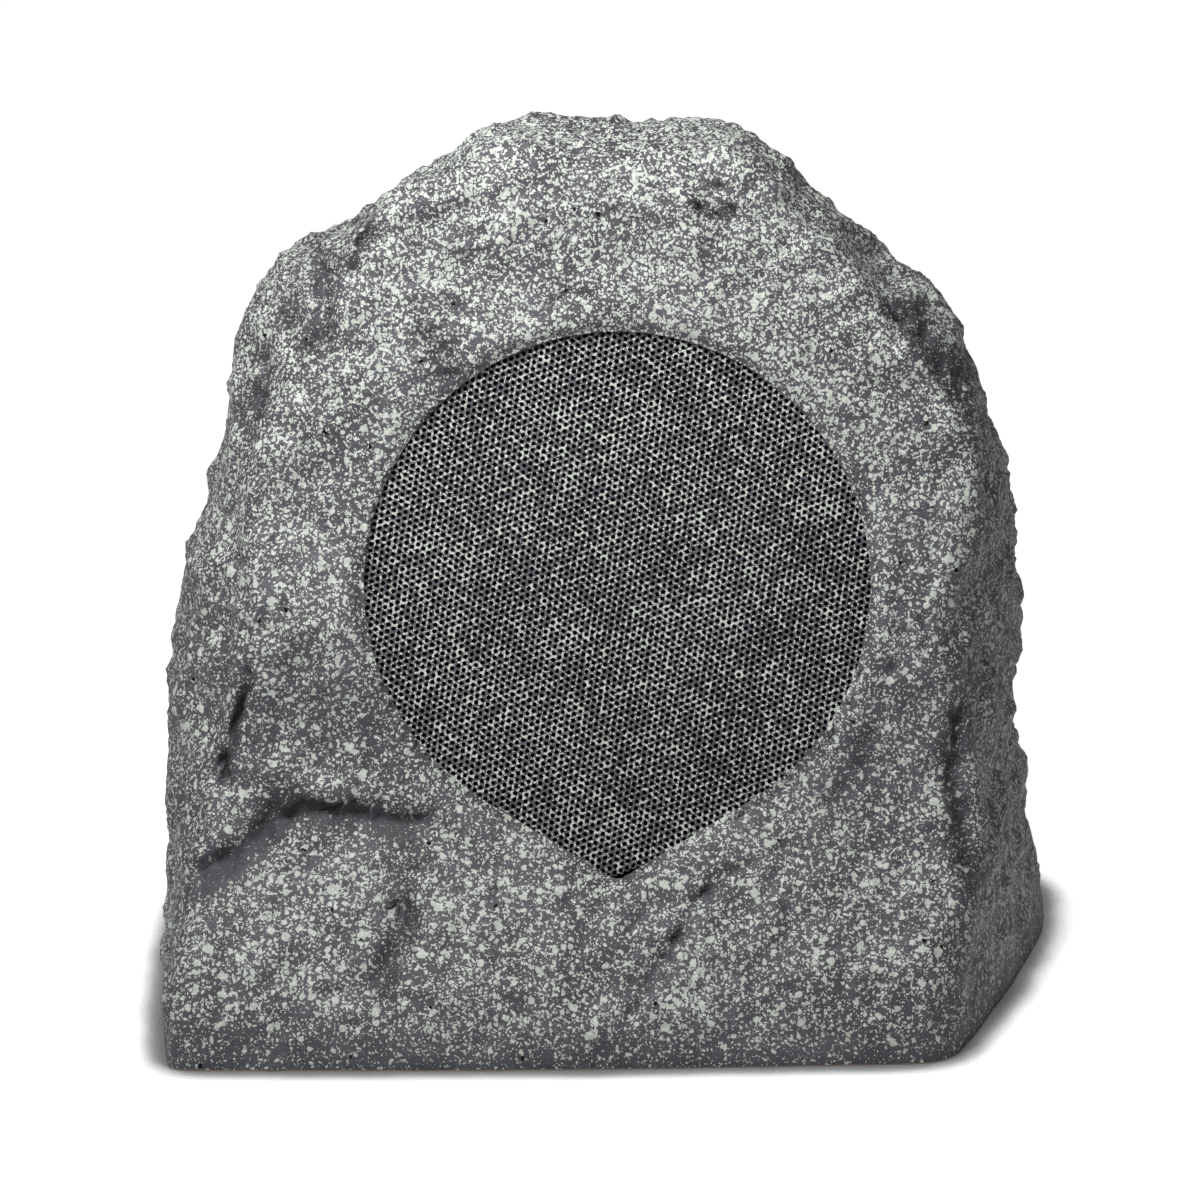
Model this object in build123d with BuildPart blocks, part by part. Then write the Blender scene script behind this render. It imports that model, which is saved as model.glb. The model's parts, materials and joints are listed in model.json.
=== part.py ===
from build123d import *
import os
from math import acos, asin, cos, degrees, radians, sin, tan

# Rock-shaped garden loudspeaker.
# A moulded rock cabinet stands on its rim. A coaxial two-way driver sits in a sloping well in its face,
# behind a flat teardrop grille. A plate closes the base and carries the crossover.
# Millimetres, X to the right, Y to the back, Z up, origin on the ground under the middle of the rock.

os.makedirs("parts", exist_ok=True)

# Rock cabinet
ROCK_WIDTH = 348.0
ROCK_DEPTH = 276.0
ROCK_HEIGHT = 318.0
ROCK_WALL = 7.0

# Sloping face: its lean, and the middle of the grille's outer side
FACE_LEAN = 18.0
GRILLE_X = 3.5
GRILLE_Y = -56.3
GRILLE_Z = 161.4

# Grille pan and its well
GRILLE_RADIUS = 95.0
GRILLE_TIP = 111.0
GRILLE_TIP_ROUND = 5.0
GRILLE_SHEET = 1.2
GRILLE_SKIRT = 8.0
GRILLE_RECESS = 3.0
GRILLE_CLEARANCE = 0.4
GRILLE_HOLE = 9.0
GRILLE_PITCH = 15.6
GRILLE_ROW_ANGLE = 21.3
GRILLE_MARGIN = 8.0
CLOTH_THICKNESS = 0.5
CLOTH_MARGIN = 0.5
LAND_WIDTH = 6.5
WELL_WALL = 7.0
BAFFLE_THICKNESS = 9.0

# Woofer
CONE_TRAVEL = 5.0
DRIVER_SEAL = 1.5
BASKET_CLEARANCE = 4.9
BASKET_RIM = 9.0
BASKET_SCREW_INSET = 3.6
BASKET_FLANGE = 4.0
BASKET_WALL = 4.5
BASKET_FLOOR = 3.0
BASKET_DEPTH = 46.0
BASKET_WINDOWS = 6
BASKET_WINDOW_WIDTH = 34.0
BASKET_WINDOW_HEIGHT = 20.0
CUTOUT_CLEARANCE = 2.0
SURROUND_LIP = 7.0
SURROUND_INNER_LIP = 4.0
SURROUND_SHEET = 0.8
ROLL_WIDTH = 9.0
ROLL_RISE = 4.3
FRONT_RING_HEIGHT = 3.0
CONE_RIM = 5.0
CONE_DEPTH = 23.0
CONE_SHEET = 0.9
CONE_NECK_HEIGHT = 1.3
DUST_CAP_RADIUS = 21.0
DUST_CAP_RISE = 7.0
DUST_CAP_SHEET = 0.5
COIL_RADIUS = 17.0
COIL_FORMER = 0.3
COIL_WINDING = 0.75
COIL_LENGTH = 14.0
COIL_TAIL = 2.0
WINDING_GAP = 0.05
GLUE_GAP = 0.3
SPIDER_DEPTH = 33.0
SPIDER_RADIUS = 45.5
SPIDER_LEDGE = 4.5
SPIDER_SHEET = 0.7
SPIDER_EDGE_FLAT = 1.0
SPIDER_NECK_FLAT = 2.0
SPIDER_WAVES = 5
SPIDER_WAVE_HEIGHT = 1.6
GAP_OUTSIDE = 0.45
GAP_INSIDE = 0.5
TOP_PLATE_RADIUS = 42.0
TOP_PLATE_THICKNESS = 6.0
MAGNET_RADIUS = 45.0
MAGNET_BORE = 22.0
MAGNET_HEIGHT = 17.0
BACK_PLATE_THICKNESS = 6.0
POLE_VENT = 5.0
TERMINAL_WIDTH = 24.0
TERMINAL_REACH = 9.0
TERMINAL_THICKNESS = 2.0
TERMINAL_TAG_WIDTH = 5.0
TERMINAL_TAG_LENGTH = 12.0
TERMINAL_TAG_THICKNESS = 0.8

# Tweeter on its bridge
BRIDGE_SHEET = 1.8
BRIDGE_WIDTH = 12.0
BRIDGE_CLEARANCE = 1.0
BRIDGE_RING = 4.0
FOOT_GAP = 0.5
HOUSING_RADIUS = 17.0
HOUSING_LIP = 1.0
HOUSING_LIP_WIDTH = 2.5
HOUSING_WALL = 2.0
HOUSING_DEPTH = 18.0
HOUSING_CLEARANCE = 0.3
MOTOR_WALL = 2.3
MOTOR_FLOOR = 2.5
MOTOR_DEPTH = 9.0
TWEETER_MAGNET_RADIUS = 9.0
TWEETER_POLE_RADIUS = 10.2
TWEETER_POLE_THICKNESS = 3.0
DOME_SHEET = 0.5
DOME_RISE = 5.0
FACE_RING_WIDTH = 2.0
FACE_RING_HEIGHT = 2.4
CLOTH_GAP = 1.0

# Screws of the driver
SCREW_COUNT = 8
SCREW_SHANK = 1.7
SCREW_HEAD = 2.9
SCREW_HEAD_HEIGHT = 2.2
SCREW_BITE = 7.0
SCREW_CLEARANCE = 0.4
PILOT_CLEARANCE = 0.1

# Base: rim, flange, plate and gasket
RIM_WALL = 7.0
BASE_RECESS = 6.0
BASE_PLATE = 6.0
BASE_GASKET = 2.0
BASE_FLANGE = 8.0
BASE_FLANGE_WIDTH = 19.0
BASE_CLEARANCE = 0.5
BASE_SCREW_INSET = 9.5
CABLE_X = -10.0
CABLE_FROM_BACK = 46.0
CABLE_BORE = 3.5
GROMMET_NECK = 6.0
GROMMET_RADIUS = 9.0
GROMMET_FLANGE = 2.0
CABLE_SLOT_WIDTH = 12.0

# Crossover
BOARD_X = 0.0
BOARD_Y = 36.0
BOARD_LENGTH = 100.0
BOARD_WIDTH = 64.0
BOARD_THICKNESS = 1.6
BOARD_SCREW_INSET = 5.0
STANDOFF_RADIUS = 4.0
STANDOFF_HEIGHT = 8.0
COIL_PLACE = (-27.0, 8.0)
BOBBIN_RADIUS = 19.0
BOBBIN_CORE = 8.0
BOBBIN_BORE = 4.0
BOBBIN_HEIGHT = 20.0
BOBBIN_CHEEK = 2.0
CAPACITOR_PLACE = (22.0, 14.0)
CAPACITOR_RADIUS = 9.0
CAPACITOR_LENGTH = 34.0
CAPACITOR_EDGE = 1.0
RESISTOR_PLACE = (22.0, -6.0)
RESISTOR_SIZE = (38.0, 10.0, 9.0)
BLOCK_PLACE = (-10.0, -23.0)
BLOCK_SIZE = (44.0, 11.0, 13.0)
BLOCK_POLES = 4
BLOCK_WIRE_HOLE = 2.0
BLOCK_WIRE_HEIGHT = 4.3
BLOCK_SCREW_HOLE = 2.4
BLOCK_SCREW_DEPTH = 4.3
LEAD_RADIUS = 1.1
LEAD_DROP = 30.0
LEAD_APPROACH = 25.0
LEAD_ENTRY = 3.0
LEAD_BEND = 18.0

# Where the rest lies, worked out from the sizes above
well_radius = GRILLE_RADIUS + GRILLE_CLEARANCE
land_radius = well_radius - LAND_WIDTH
basket_radius = land_radius - BASKET_CLEARANCE
lip_radius = basket_radius - BASKET_RIM
roll_radius = lip_radius - SURROUND_LIP
cone_radius = roll_radius - ROLL_WIDTH
roll_middle = cone_radius + ROLL_WIDTH / 2
screw_circle = basket_radius - BASKET_SCREW_INSET

flange_top = DRIVER_SEAL + BASKET_FLANGE
bridge_low = flange_top + SURROUND_SHEET + ROLL_RISE + CONE_TRAVEL + BRIDGE_CLEARANCE
bridge_top = bridge_low + BRIDGE_SHEET
cloth_low = bridge_top + HOUSING_LIP + CLOTH_GAP
well_depth = cloth_low + CLOTH_THICKNESS + GRILLE_SHEET
land_height = well_depth - GRILLE_SKIRT
well_reach = well_depth + BAFFLE_THICKNESS + ROCK_DEPTH / 4

face_normal = Vector(0, -cos(radians(FACE_LEAN)), sin(radians(FACE_LEAN)))
grille_middle = Vector(GRILLE_X, GRILLE_Y, GRILLE_Z)
baffle = Plane(origin=grille_middle - face_normal * well_depth, x_dir=(1, 0, 0), z_dir=face_normal)
driver = baffle.offset(DRIVER_SEAL)
driver_axis = Axis(driver.origin, face_normal)
# Half-section planes: x out from the driver's axis, y along it
baffle_section = Plane(origin=baffle.origin, x_dir=baffle.x_dir, z_dir=-baffle.y_dir)
driver_section = Plane(origin=driver.origin, x_dir=driver.x_dir, z_dir=-driver.y_dir)

plate_low = BASE_RECESS
plate_top = plate_low + BASE_PLATE
flange_low = plate_top + BASE_GASKET
cavity_low = flange_low + BASE_FLANGE
board_low = plate_top + STANDOFF_HEIGHT
board_top = board_low + BOARD_THICKNESS
cable_y = ROCK_DEPTH / 2 - CABLE_FROM_BACK

# Cross-sections of the rock from the ground up. Each has its height as a share of the rock's, then its
# ten corners from the front left round by the right, as shares of half the width and half the depth.
# A corner marked ON_FACE has no depth of its own: it lies on the sloping face round the grille.
ON_FACE = None
ROCK_SECTIONS = [
    (0.000, (-0.945, -1.00), (-0.10, -1.00), (0.73, -0.95), (0.88, -0.45), (1.00, 0.04),
     (1.00, 0.40), (0.40, 1.00), (-0.49, 1.00), (-1.00, 0.43), (-1.00, -0.43)),
    (0.050, (-0.945, -0.97), (-0.10, -0.965), (0.735, -0.925), (0.875, -0.44), (0.985, 0.04),
     (0.98, 0.40), (0.395, 0.995), (-0.485, 0.995), (-0.995, 0.425), (-0.995, -0.43)),
    (0.115, (-0.925, -0.875), (-0.11, -0.855), (0.75, -0.84), (0.87, -0.43), (0.965, 0.04),
     (0.955, 0.40), (0.39, 0.985), (-0.48, 0.985), (-0.985, 0.42), (-0.985, -0.42)),
    (0.225, (-0.87, ON_FACE), (-0.06, ON_FACE), (0.80, ON_FACE), (0.875, -0.36), (0.935, 0.04),
     (0.93, 0.40), (0.38, 0.96), (-0.48, 0.96), (-0.965, 0.41), (-0.965, -0.38)),
    (0.380, (-0.79, ON_FACE), (0.00, ON_FACE), (0.755, ON_FACE), (0.865, -0.25), (0.92, 0.06),
     (0.91, 0.41), (0.36, 0.92), (-0.47, 0.92), (-0.955, 0.38), (-0.95, -0.28)),
    (0.550, (-0.765, ON_FACE), (0.01, ON_FACE), (0.765, ON_FACE), (0.86, -0.18), (0.90, 0.07),
     (0.87, 0.39), (0.33, 0.855), (-0.45, 0.85), (-0.89, 0.35), (-0.89, -0.16)),
    (0.710, (-0.68, ON_FACE), (0.02, ON_FACE), (0.755, ON_FACE), (0.815, -0.11), (0.835, 0.10),
     (0.78, 0.38), (0.30, 0.755), (-0.41, 0.75), (-0.825, 0.32), (-0.825, -0.07)),
    (0.830, (-0.59, ON_FACE), (0.01, ON_FACE), (0.58, ON_FACE), (0.665, -0.04), (0.68, 0.13),
     (0.61, 0.35), (0.25, 0.64), (-0.37, 0.64), (-0.72, 0.29), (-0.725, 0.00)),
    (0.915, (-0.52, ON_FACE), (0.00, ON_FACE), (0.42, ON_FACE), (0.48, 0.00), (0.49, 0.145),
     (0.43, 0.32), (0.20, 0.52), (-0.31, 0.52), (-0.48, 0.29), (-0.515, 0.03)),
    (0.970, (-0.36, ON_FACE), (0.00, ON_FACE), (0.33, ON_FACE), (0.385, 0.03), (0.39, 0.145),
     (0.33, 0.275), (0.14, 0.41), (-0.23, 0.41), (-0.36, 0.26), (-0.385, 0.06)),
    (1.000, (-0.21, 0.04), (0.00, 0.03), (0.26, 0.035), (0.305, 0.10), (0.31, 0.16),
     (0.26, 0.23), (0.08, 0.30), (-0.15, 0.30), (-0.24, 0.23), (-0.25, 0.10)),
]
# How far each corner's rounding runs along the shorter of its two sides, and the face's slight swell
CORNER_SOFTNESS = (0.12, 0.45, 0.20, 0.45, 0.40, 0.40, 0.40, 0.40, 0.40, 0.40)
FACE_SWELL = 1.5

# Grooves broken into the front: how far each opens above and below its line, how deep it is, and the
# line's points from left to right or from the top down, as shares of half the width and of the height
GROOVES = [
    # Ledge under the bulge at the lower left
    (2.0, 11.0, 4.2, ((-0.90, 0.188), (-0.713, 0.254), (-0.563, 0.268), (-0.38, 0.252))),
    # Crack below the grille, and the gouge left of it
    (2.4, 2.4, 3.4, ((0.38, 0.220), (0.22, 0.176), (0.10, 0.096), (0.04, 0.048))),
    (6.0, 6.0, 2.8, ((-0.44, 0.170), (-0.43, 0.145), (-0.48, 0.088))),
    # Left ridge, from the shoulder down
    (5.0, 5.0, 4.2, ((-0.495, 0.905), (-0.560, 0.858))),
    (7.0, 7.0, 4.4, ((-0.615, 0.862), (-0.615, 0.814), (-0.627, 0.774))),
    (6.0, 6.0, 3.4, ((-0.747, 0.742), (-0.782, 0.679))),
    (4.0, 4.0, 4.0, ((-0.776, 0.402), (-0.805, 0.340), (-0.839, 0.290))),
    # Right ridge, from the shoulder down
    (7.0, 7.0, 4.4, ((0.615, 0.814), (0.678, 0.786), (0.764, 0.720))),
    (6.0, 6.0, 3.2, ((0.753, 0.365), (0.741, 0.289), (0.782, 0.179))),
    # Hollow near the top
    (4.5, 4.5, 3.0, ((0.19, 0.937), (0.28, 0.921))),
]
GROOVE_LIFT = 7.0
GROOVE_OVERLAP = 1.5
# Shallow scoops round the sides and back: height as a share, and bearing from the front by the right
SCOOPS = [
    (0.27, 70), (0.34, 112), (0.52, 88), (0.70, 104), (0.86, 90),
    (0.24, 152), (0.44, 142), (0.62, 160), (0.30, 192), (0.52, 200), (0.74, 186), (0.88, 150),
    (0.26, 236), (0.46, 228), (0.66, 238), (0.86, 228), (0.32, 262), (0.54, 268), (0.74, 276),
]
SCOOP_RADIUS = 70.0
SCOOP_DEPTH = 3.2


def face_depth(height):
    """Depth of the sloping face at a height, in front of the grille by its recess."""
    lean = radians(FACE_LEAN)
    return GRILLE_Y + (height - GRILLE_Z) * tan(lean) - GRILLE_RECESS / cos(lean)


def section_corners(row, inset):
    """Corners of one cross-section in plan, each side moved inward by the inset."""
    height = row[0] * ROCK_HEIGHT
    corners = []
    for place, (x_share, y_share) in enumerate(row[1:]):
        y = y_share * ROCK_DEPTH / 2 if y_share is not ON_FACE else face_depth(height)
        if y_share is ON_FACE and place == 1:
            y -= FACE_SWELL
        corners.append(Vector(x_share * ROCK_WIDTH / 2, y))
    moved = []
    for before, here, after in zip(corners[-1:] + corners[:-1], corners, corners[1:] + corners[:1]):
        side_in = (here - before).normalized().rotate(Axis.Z, 90)
        side_out = (after - here).normalized().rotate(Axis.Z, 90)
        moved.append(here + (side_in + side_out) * (inset / (1 + side_in.dot(side_out))))
    return moved


def rounded_outline(corners):
    """Closed outline through the corners, each rounded by its own softness."""
    radii = []
    for place, here in enumerate(corners):
        side_in = here - corners[place - 1]
        side_out = corners[(place + 1) % len(corners)] - here
        turn = radians(side_in.get_angle(side_out))
        shorter = min(side_in.length, side_out.length)
        radii.append(CORNER_SOFTNESS[place] * shorter / tan(turn / 2))
    with BuildSketch() as outline:
        with BuildLine():
            FilletPolyline(*corners, radius=radii, close=True)
        make_face()
    return outline.sketch


def rock_sections(inset):
    """Cross-sections of the rock at their heights, with every side moved inward."""
    sections = []
    for row in ROCK_SECTIONS:
        with BuildSketch(Plane.XY.offset(row[0] * (ROCK_HEIGHT - inset))) as section:
            add(rounded_outline(section_corners(row, inset)))
        sections.append(section.sketch.face())
    return sections


def base_outline(inset):
    """Outline of the rock where it meets the ground, moved inward."""
    return rounded_outline(section_corners(ROCK_SECTIONS[0], inset))


def teardrop(radius):
    """Round outline with a blunt point at the bottom, in the grille's proportions."""
    scale = radius / GRILLE_RADIUS
    half = acos(GRILLE_RADIUS / GRILLE_TIP)
    right = (radius * sin(half), -radius * cos(half))
    left = (-right[0], right[1])
    with BuildSketch() as outline:
        with BuildLine():
            FilletPolyline(left, (0, -GRILLE_TIP * scale), right, radius=GRILLE_TIP_ROUND * scale)
            CenterArc((0, 0), radius, degrees(half) - 90, 360 - 2 * degrees(half))
        make_face()
    return outline.sketch


def ring(inner, outer, low, high):
    """Rectangle in a half-section, from the axis outward and along it."""
    with Locations(((inner + outer) / 2, (low + high) / 2)):
        Rectangle(outer - inner, high - low)


def cap_outline(radius, seat, rise, sheet):
    """Half-section of a thin round cap: its spherical outside and inside, from rim to crown."""
    ball = (radius**2 + rise**2) / (2 * rise)
    half_turn = asin(radius / ball) / 2
    outside = (ball * sin(half_turn), seat + rise - ball * (1 - cos(half_turn)))
    bore = radius - sheet
    inner_ball = (bore**2 + (rise - sheet) ** 2) / (2 * (rise - sheet))
    inner_turn = asin(bore / inner_ball) / 2
    inside = (inner_ball * sin(inner_turn), seat + rise - sheet - inner_ball * (1 - cos(inner_turn)))
    with BuildSketch() as outline:
        with BuildLine():
            ThreePointArc((radius, seat), outside, (0, seat + rise))
            Line((0, seat + rise), (0, seat + rise - sheet))
            ThreePointArc((0, seat + rise - sheet), inside, (bore, seat))
            Line((bore, seat), (radius, seat))
        make_face()
    return outline.sketch


def finish(piece, name):
    """Label a finished piece and write it out."""
    piece.part.label = name
    export_step(piece.part, f"parts/{name}.step")


screw_line = section_corners(ROCK_SECTIONS[0], RIM_WALL + BASE_SCREW_INSET)
base_screw_places = [
    ((here.X + after.X) / 2, (here.Y + after.Y) / 2)
    for here, after in zip(screw_line, screw_line[1:] + screw_line[:1])
]
bridge_screw_angles = [0, 180]
woofer_screw_angles = [
    angle
    for angle in range(0, 360, 360 // SCREW_COUNT)
    if angle not in bridge_screw_angles
]


def screw_places(angles):
    """Places round the driver's screw circle."""
    return [
        (screw_circle * cos(radians(angle)), screw_circle * sin(radians(angle)))
        for angle in angles
    ]


driver_screw_places = screw_places(woofer_screw_angles + bridge_screw_angles)

# Boulder that the mould was taken from, before its marks
with BuildPart() as boulder:
    loft(rock_sections(0))


def first_struck(start, direction):
    """Where a line from outside first meets the boulder, and the way out of the surface there."""
    struck = boulder.part.find_intersection_points(Axis(start, direction))
    place, out = min(struck, key=lambda found: (found[0] - start).dot(direction))
    return place, out if out.dot(direction) < 0 else -out


def groove_places(line):
    """Places on the front of the boulder along a groove's line."""
    return [
        first_struck(Vector(x * ROCK_WIDTH / 2, -ROCK_DEPTH, z * ROCK_HEIGHT), Vector(0, 1, 0))
        for x, z in line
    ]


def scoop_middle(height, bearing):
    """Middle of the ball that leaves a scoop on the side of the boulder."""
    away = Vector(0, -1, 0).rotate(Axis.Z, bearing)
    place, out = first_struck(Vector(0, 0, height * ROCK_HEIGHT) + away * ROCK_WIDTH, -away)
    return place + out * (SCOOP_RADIUS - SCOOP_DEPTH)


# Grooves as wedges, one for each straight piece of a line
with BuildPart() as grooves:
    for above, below, depth, line in GROOVES:
        places = groove_places(line)
        widening = 1 + GROOVE_LIFT / depth
        for (start, start_out), (end, end_out) in zip(places, places[1:]):
            along = (end - start).normalized()
            out = start_out + end_out
            out = (out - along * out.dot(along)).normalized()
            section = Plane(start - along * GROOVE_OVERLAP, x_dir=out.cross(along), z_dir=along)
            with BuildSketch(section):
                with BuildLine():
                    mouth_low, mouth_high = -below * widening, above * widening
                    Polyline((mouth_low, GROOVE_LIFT), (mouth_high, GROOVE_LIFT), (0, -depth), close=True)
                make_face()
            extrude(amount=(end - start).length + 2 * GROOVE_OVERLAP)

# Room inside the rock, above the base flange and round the moulded well
with BuildPart() as room:
    loft(rock_sections(ROCK_WALL))
    split(bisect_by=Plane.XY.offset(cavity_low), keep=Keep.TOP)
    with BuildSketch(baffle.offset(-BAFFLE_THICKNESS)):
        add(teardrop(well_radius + WELL_WALL))
    extrude(amount=well_reach, mode=Mode.SUBTRACT)

# Rock cabinet, moulded in one piece with its grille well, driver baffle and base flange
with BuildPart() as rock_shell:
    add(boulder.part)
    add(grooves.part, mode=Mode.SUBTRACT)
    with Locations(*[scoop_middle(height, bearing) for height, bearing in SCOOPS]):
        Sphere(SCOOP_RADIUS, mode=Mode.SUBTRACT)
    add(room.part, mode=Mode.SUBTRACT)
    # Grille well, and below its ledge the room for the driver
    with BuildSketch(baffle.offset(land_height)):
        add(teardrop(well_radius))
    extrude(amount=well_reach, mode=Mode.SUBTRACT)
    with BuildSketch(baffle):
        add(teardrop(land_radius))
    extrude(amount=land_height, mode=Mode.SUBTRACT)
    # Driver opening and the pilot holes of its screws
    with BuildSketch(baffle):
        Circle(roll_radius + BASKET_WALL / 2 + CUTOUT_CLEARANCE)
    extrude(amount=-2 * BAFFLE_THICKNESS, mode=Mode.SUBTRACT)
    with BuildSketch(baffle):
        with Locations(*driver_screw_places):
            Circle(SCREW_SHANK + PILOT_CLEARANCE)
    extrude(amount=-SCREW_BITE, mode=Mode.SUBTRACT)
    # Rebate for the base plate, opening in the flange, pilot holes and the cable's way out at the back
    with BuildSketch(Plane.XY):
        add(base_outline(RIM_WALL))
    extrude(amount=flange_low, mode=Mode.SUBTRACT)
    with BuildSketch(Plane.XY.offset(flange_low)):
        add(base_outline(RIM_WALL + BASE_FLANGE_WIDTH))
    extrude(amount=BASE_FLANGE, mode=Mode.SUBTRACT)
    with BuildSketch(Plane.XY.offset(flange_low)):
        with Locations(*base_screw_places):
            Circle(SCREW_SHANK + PILOT_CLEARANCE)
    extrude(amount=SCREW_BITE, mode=Mode.SUBTRACT)
    with BuildSketch(Plane.XY):
        with Locations((CABLE_X, ROCK_DEPTH / 2)):
            Rectangle(CABLE_SLOT_WIDTH, 3 * RIM_WALL)
    extrude(amount=BASE_RECESS, mode=Mode.SUBTRACT)
finish(rock_shell, "rock_shell")


def grille_hole_places():
    """Six-sided pattern of holes on tilted rows, kept clear of the grille's edge."""
    reach = GRILLE_RADIUS - GRILLE_MARGIN
    steps = int(GRILLE_TIP / GRILLE_PITCH) + 2
    half = acos(GRILLE_RADIUS / GRILLE_TIP)
    places = []
    for row in range(-steps, steps + 1):
        for column in range(-steps, steps + 1):
            along = (column + 0.5 * (row % 2)) * GRILLE_PITCH
            across = row * GRILLE_PITCH * sin(radians(60))
            spot = Vector(along, across).rotate(Axis.Z, GRILLE_ROW_ANGLE)
            side = abs(spot.X) * sin(half) - spot.Y * cos(half)
            inside_round = spot.length <= reach
            inside_point = side <= reach and -spot.Y >= GRILLE_RADIUS * cos(half)
            if inside_round or inside_point:
                places.append((spot.X, spot.Y))
    return places


# Grille: sheet pan with a folded skirt that stands on the ledge of the well
with BuildPart() as grille:
    with BuildSketch(baffle.offset(land_height)):
        add(teardrop(GRILLE_RADIUS))
    extrude(amount=GRILLE_SKIRT)
    with BuildSketch(baffle.offset(land_height)):
        add(teardrop(GRILLE_RADIUS - GRILLE_SHEET))
    extrude(amount=GRILLE_SKIRT - GRILLE_SHEET, mode=Mode.SUBTRACT)
    with BuildSketch(baffle.offset(well_depth)):
        with Locations(*grille_hole_places()):
            RegularPolygon(GRILLE_HOLE / 2, 6)
    extrude(amount=-2 * GRILLE_SHEET, mode=Mode.SUBTRACT)
finish(grille, "grille")

# Black cloth behind the sheet
with BuildPart() as grille_cloth:
    with BuildSketch(baffle.offset(cloth_low)):
        add(teardrop(GRILLE_RADIUS - GRILLE_SHEET - CLOTH_MARGIN))
    extrude(amount=CLOTH_THICKNESS)
finish(grille_cloth, "grille_cloth")

# Foam ring under the woofer's flange
with BuildPart() as driver_seal:
    with BuildSketch(baffle_section):
        ring(roll_radius + BASKET_WALL / 2 + CUTOUT_CLEARANCE, basket_radius, 0, DRIVER_SEAL)
    revolve(axis=driver_axis)
    with BuildSketch(baffle):
        with Locations(*driver_screw_places):
            Circle(SCREW_SHANK + SCREW_CLEARANCE)
    extrude(amount=DRIVER_SEAL, mode=Mode.SUBTRACT)
finish(driver_seal, "driver_seal")

# Basket: flange, open sloping wall, ledge for the spider and a floor that the motor hangs from
basket_opening = roll_radius - BASKET_WALL / 2
ledge_bore = SPIDER_RADIUS - SPIDER_LEDGE
floor_bore = COIL_RADIUS + COIL_WINDING + 2 * GAP_OUTSIDE
with BuildPart() as woofer_basket:
    with BuildSketch(driver_section):
        with BuildLine():
            Polyline(
                (basket_radius, 0),
                (basket_radius, BASKET_FLANGE),
                (basket_opening, BASKET_FLANGE),
                (basket_opening, 0),
                (SPIDER_RADIUS + SPIDER_SHEET, -SPIDER_DEPTH),
                (ledge_bore, -SPIDER_DEPTH),
                (ledge_bore, BASKET_FLOOR - BASKET_DEPTH),
                (floor_bore, BASKET_FLOOR - BASKET_DEPTH),
                (floor_bore, -BASKET_DEPTH),
                (ledge_bore + BASKET_FLOOR, -BASKET_DEPTH),
                (SPIDER_RADIUS + SPIDER_SHEET + BASKET_FLOOR, -SPIDER_DEPTH),
                (basket_opening + BASKET_WALL, 0),
                close=True,
            )
        make_face()
    revolve(axis=driver_axis)
    window_radius = (basket_opening + SPIDER_RADIUS) / 2
    window_reach = basket_opening - SPIDER_RADIUS + 4 * BASKET_WALL
    with BuildSketch(driver.offset(-SPIDER_DEPTH / 2 - BASKET_WINDOW_HEIGHT / 2)):
        with PolarLocations(window_radius, BASKET_WINDOWS, start_angle=180 / BASKET_WINDOWS):
            Rectangle(window_reach, BASKET_WINDOW_WIDTH)
    extrude(amount=BASKET_WINDOW_HEIGHT, mode=Mode.SUBTRACT)
    with BuildSketch(driver):
        with Locations(*driver_screw_places):
            Circle(SCREW_SHANK + SCREW_CLEARANCE)
    extrude(amount=BASKET_FLANGE, mode=Mode.SUBTRACT)
finish(woofer_basket, "woofer_basket")

# Rubber surround: a lip on the cone's rim, a half roll and a lip on the flange
roll_low = BASKET_FLANGE
roll_high = BASKET_FLANGE + SURROUND_SHEET
with BuildPart() as woofer_surround:
    with BuildSketch(driver_section):
        with BuildLine():
            Polyline(
                (cone_radius - SURROUND_SHEET / 2, roll_high),
                (cone_radius - SURROUND_INNER_LIP, roll_high),
                (cone_radius - SURROUND_INNER_LIP, roll_low),
                (cone_radius + SURROUND_SHEET / 2, roll_low),
            )
            ThreePointArc(
                (cone_radius + SURROUND_SHEET / 2, roll_low),
                (roll_middle, roll_low + ROLL_RISE - SURROUND_SHEET / 4),
                (roll_radius - SURROUND_SHEET / 2, roll_low),
            )
            Polyline(
                (roll_radius - SURROUND_SHEET / 2, roll_low),
                (lip_radius, roll_low),
                (lip_radius, roll_high),
                (roll_radius + SURROUND_SHEET / 2, roll_high),
            )
            ThreePointArc(
                (roll_radius + SURROUND_SHEET / 2, roll_high),
                (roll_middle, roll_high + ROLL_RISE),
                (cone_radius - SURROUND_SHEET / 2, roll_high),
            )
        make_face()
    revolve(axis=driver_axis)
finish(woofer_surround, "woofer_surround")

# Front ring that holds the surround's lip down
with BuildPart() as woofer_gasket:
    with BuildSketch(driver_section):
        ring(roll_radius + SURROUND_SHEET, lip_radius, roll_high, roll_high + FRONT_RING_HEIGHT)
    revolve(axis=driver_axis)
finish(woofer_gasket, "woofer_gasket")

# Cone with a flat rim; its neck is glued round the coil former
cone_neck = COIL_RADIUS + GLUE_GAP
cone_flat = cone_radius - CONE_RIM
neck_height = BASKET_FLANGE - CONE_DEPTH
with BuildPart() as woofer_cone:
    with BuildSketch(driver_section):
        with BuildLine():
            Polyline(
                (cone_radius, BASKET_FLANGE - CONE_SHEET),
                (cone_radius, BASKET_FLANGE),
                (cone_flat, BASKET_FLANGE),
                (cone_neck, neck_height),
                (cone_neck, neck_height - CONE_NECK_HEIGHT),
                (cone_flat + CONE_SHEET / 2, BASKET_FLANGE - CONE_SHEET),
                close=True,
            )
        make_face()
    revolve(axis=driver_axis)
finish(woofer_cone, "woofer_cone")


def cone_height(radius):
    """Height of the cone's upper side at a radius."""
    return neck_height + CONE_DEPTH * (radius - cone_neck) / (cone_flat - cone_neck)


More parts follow.
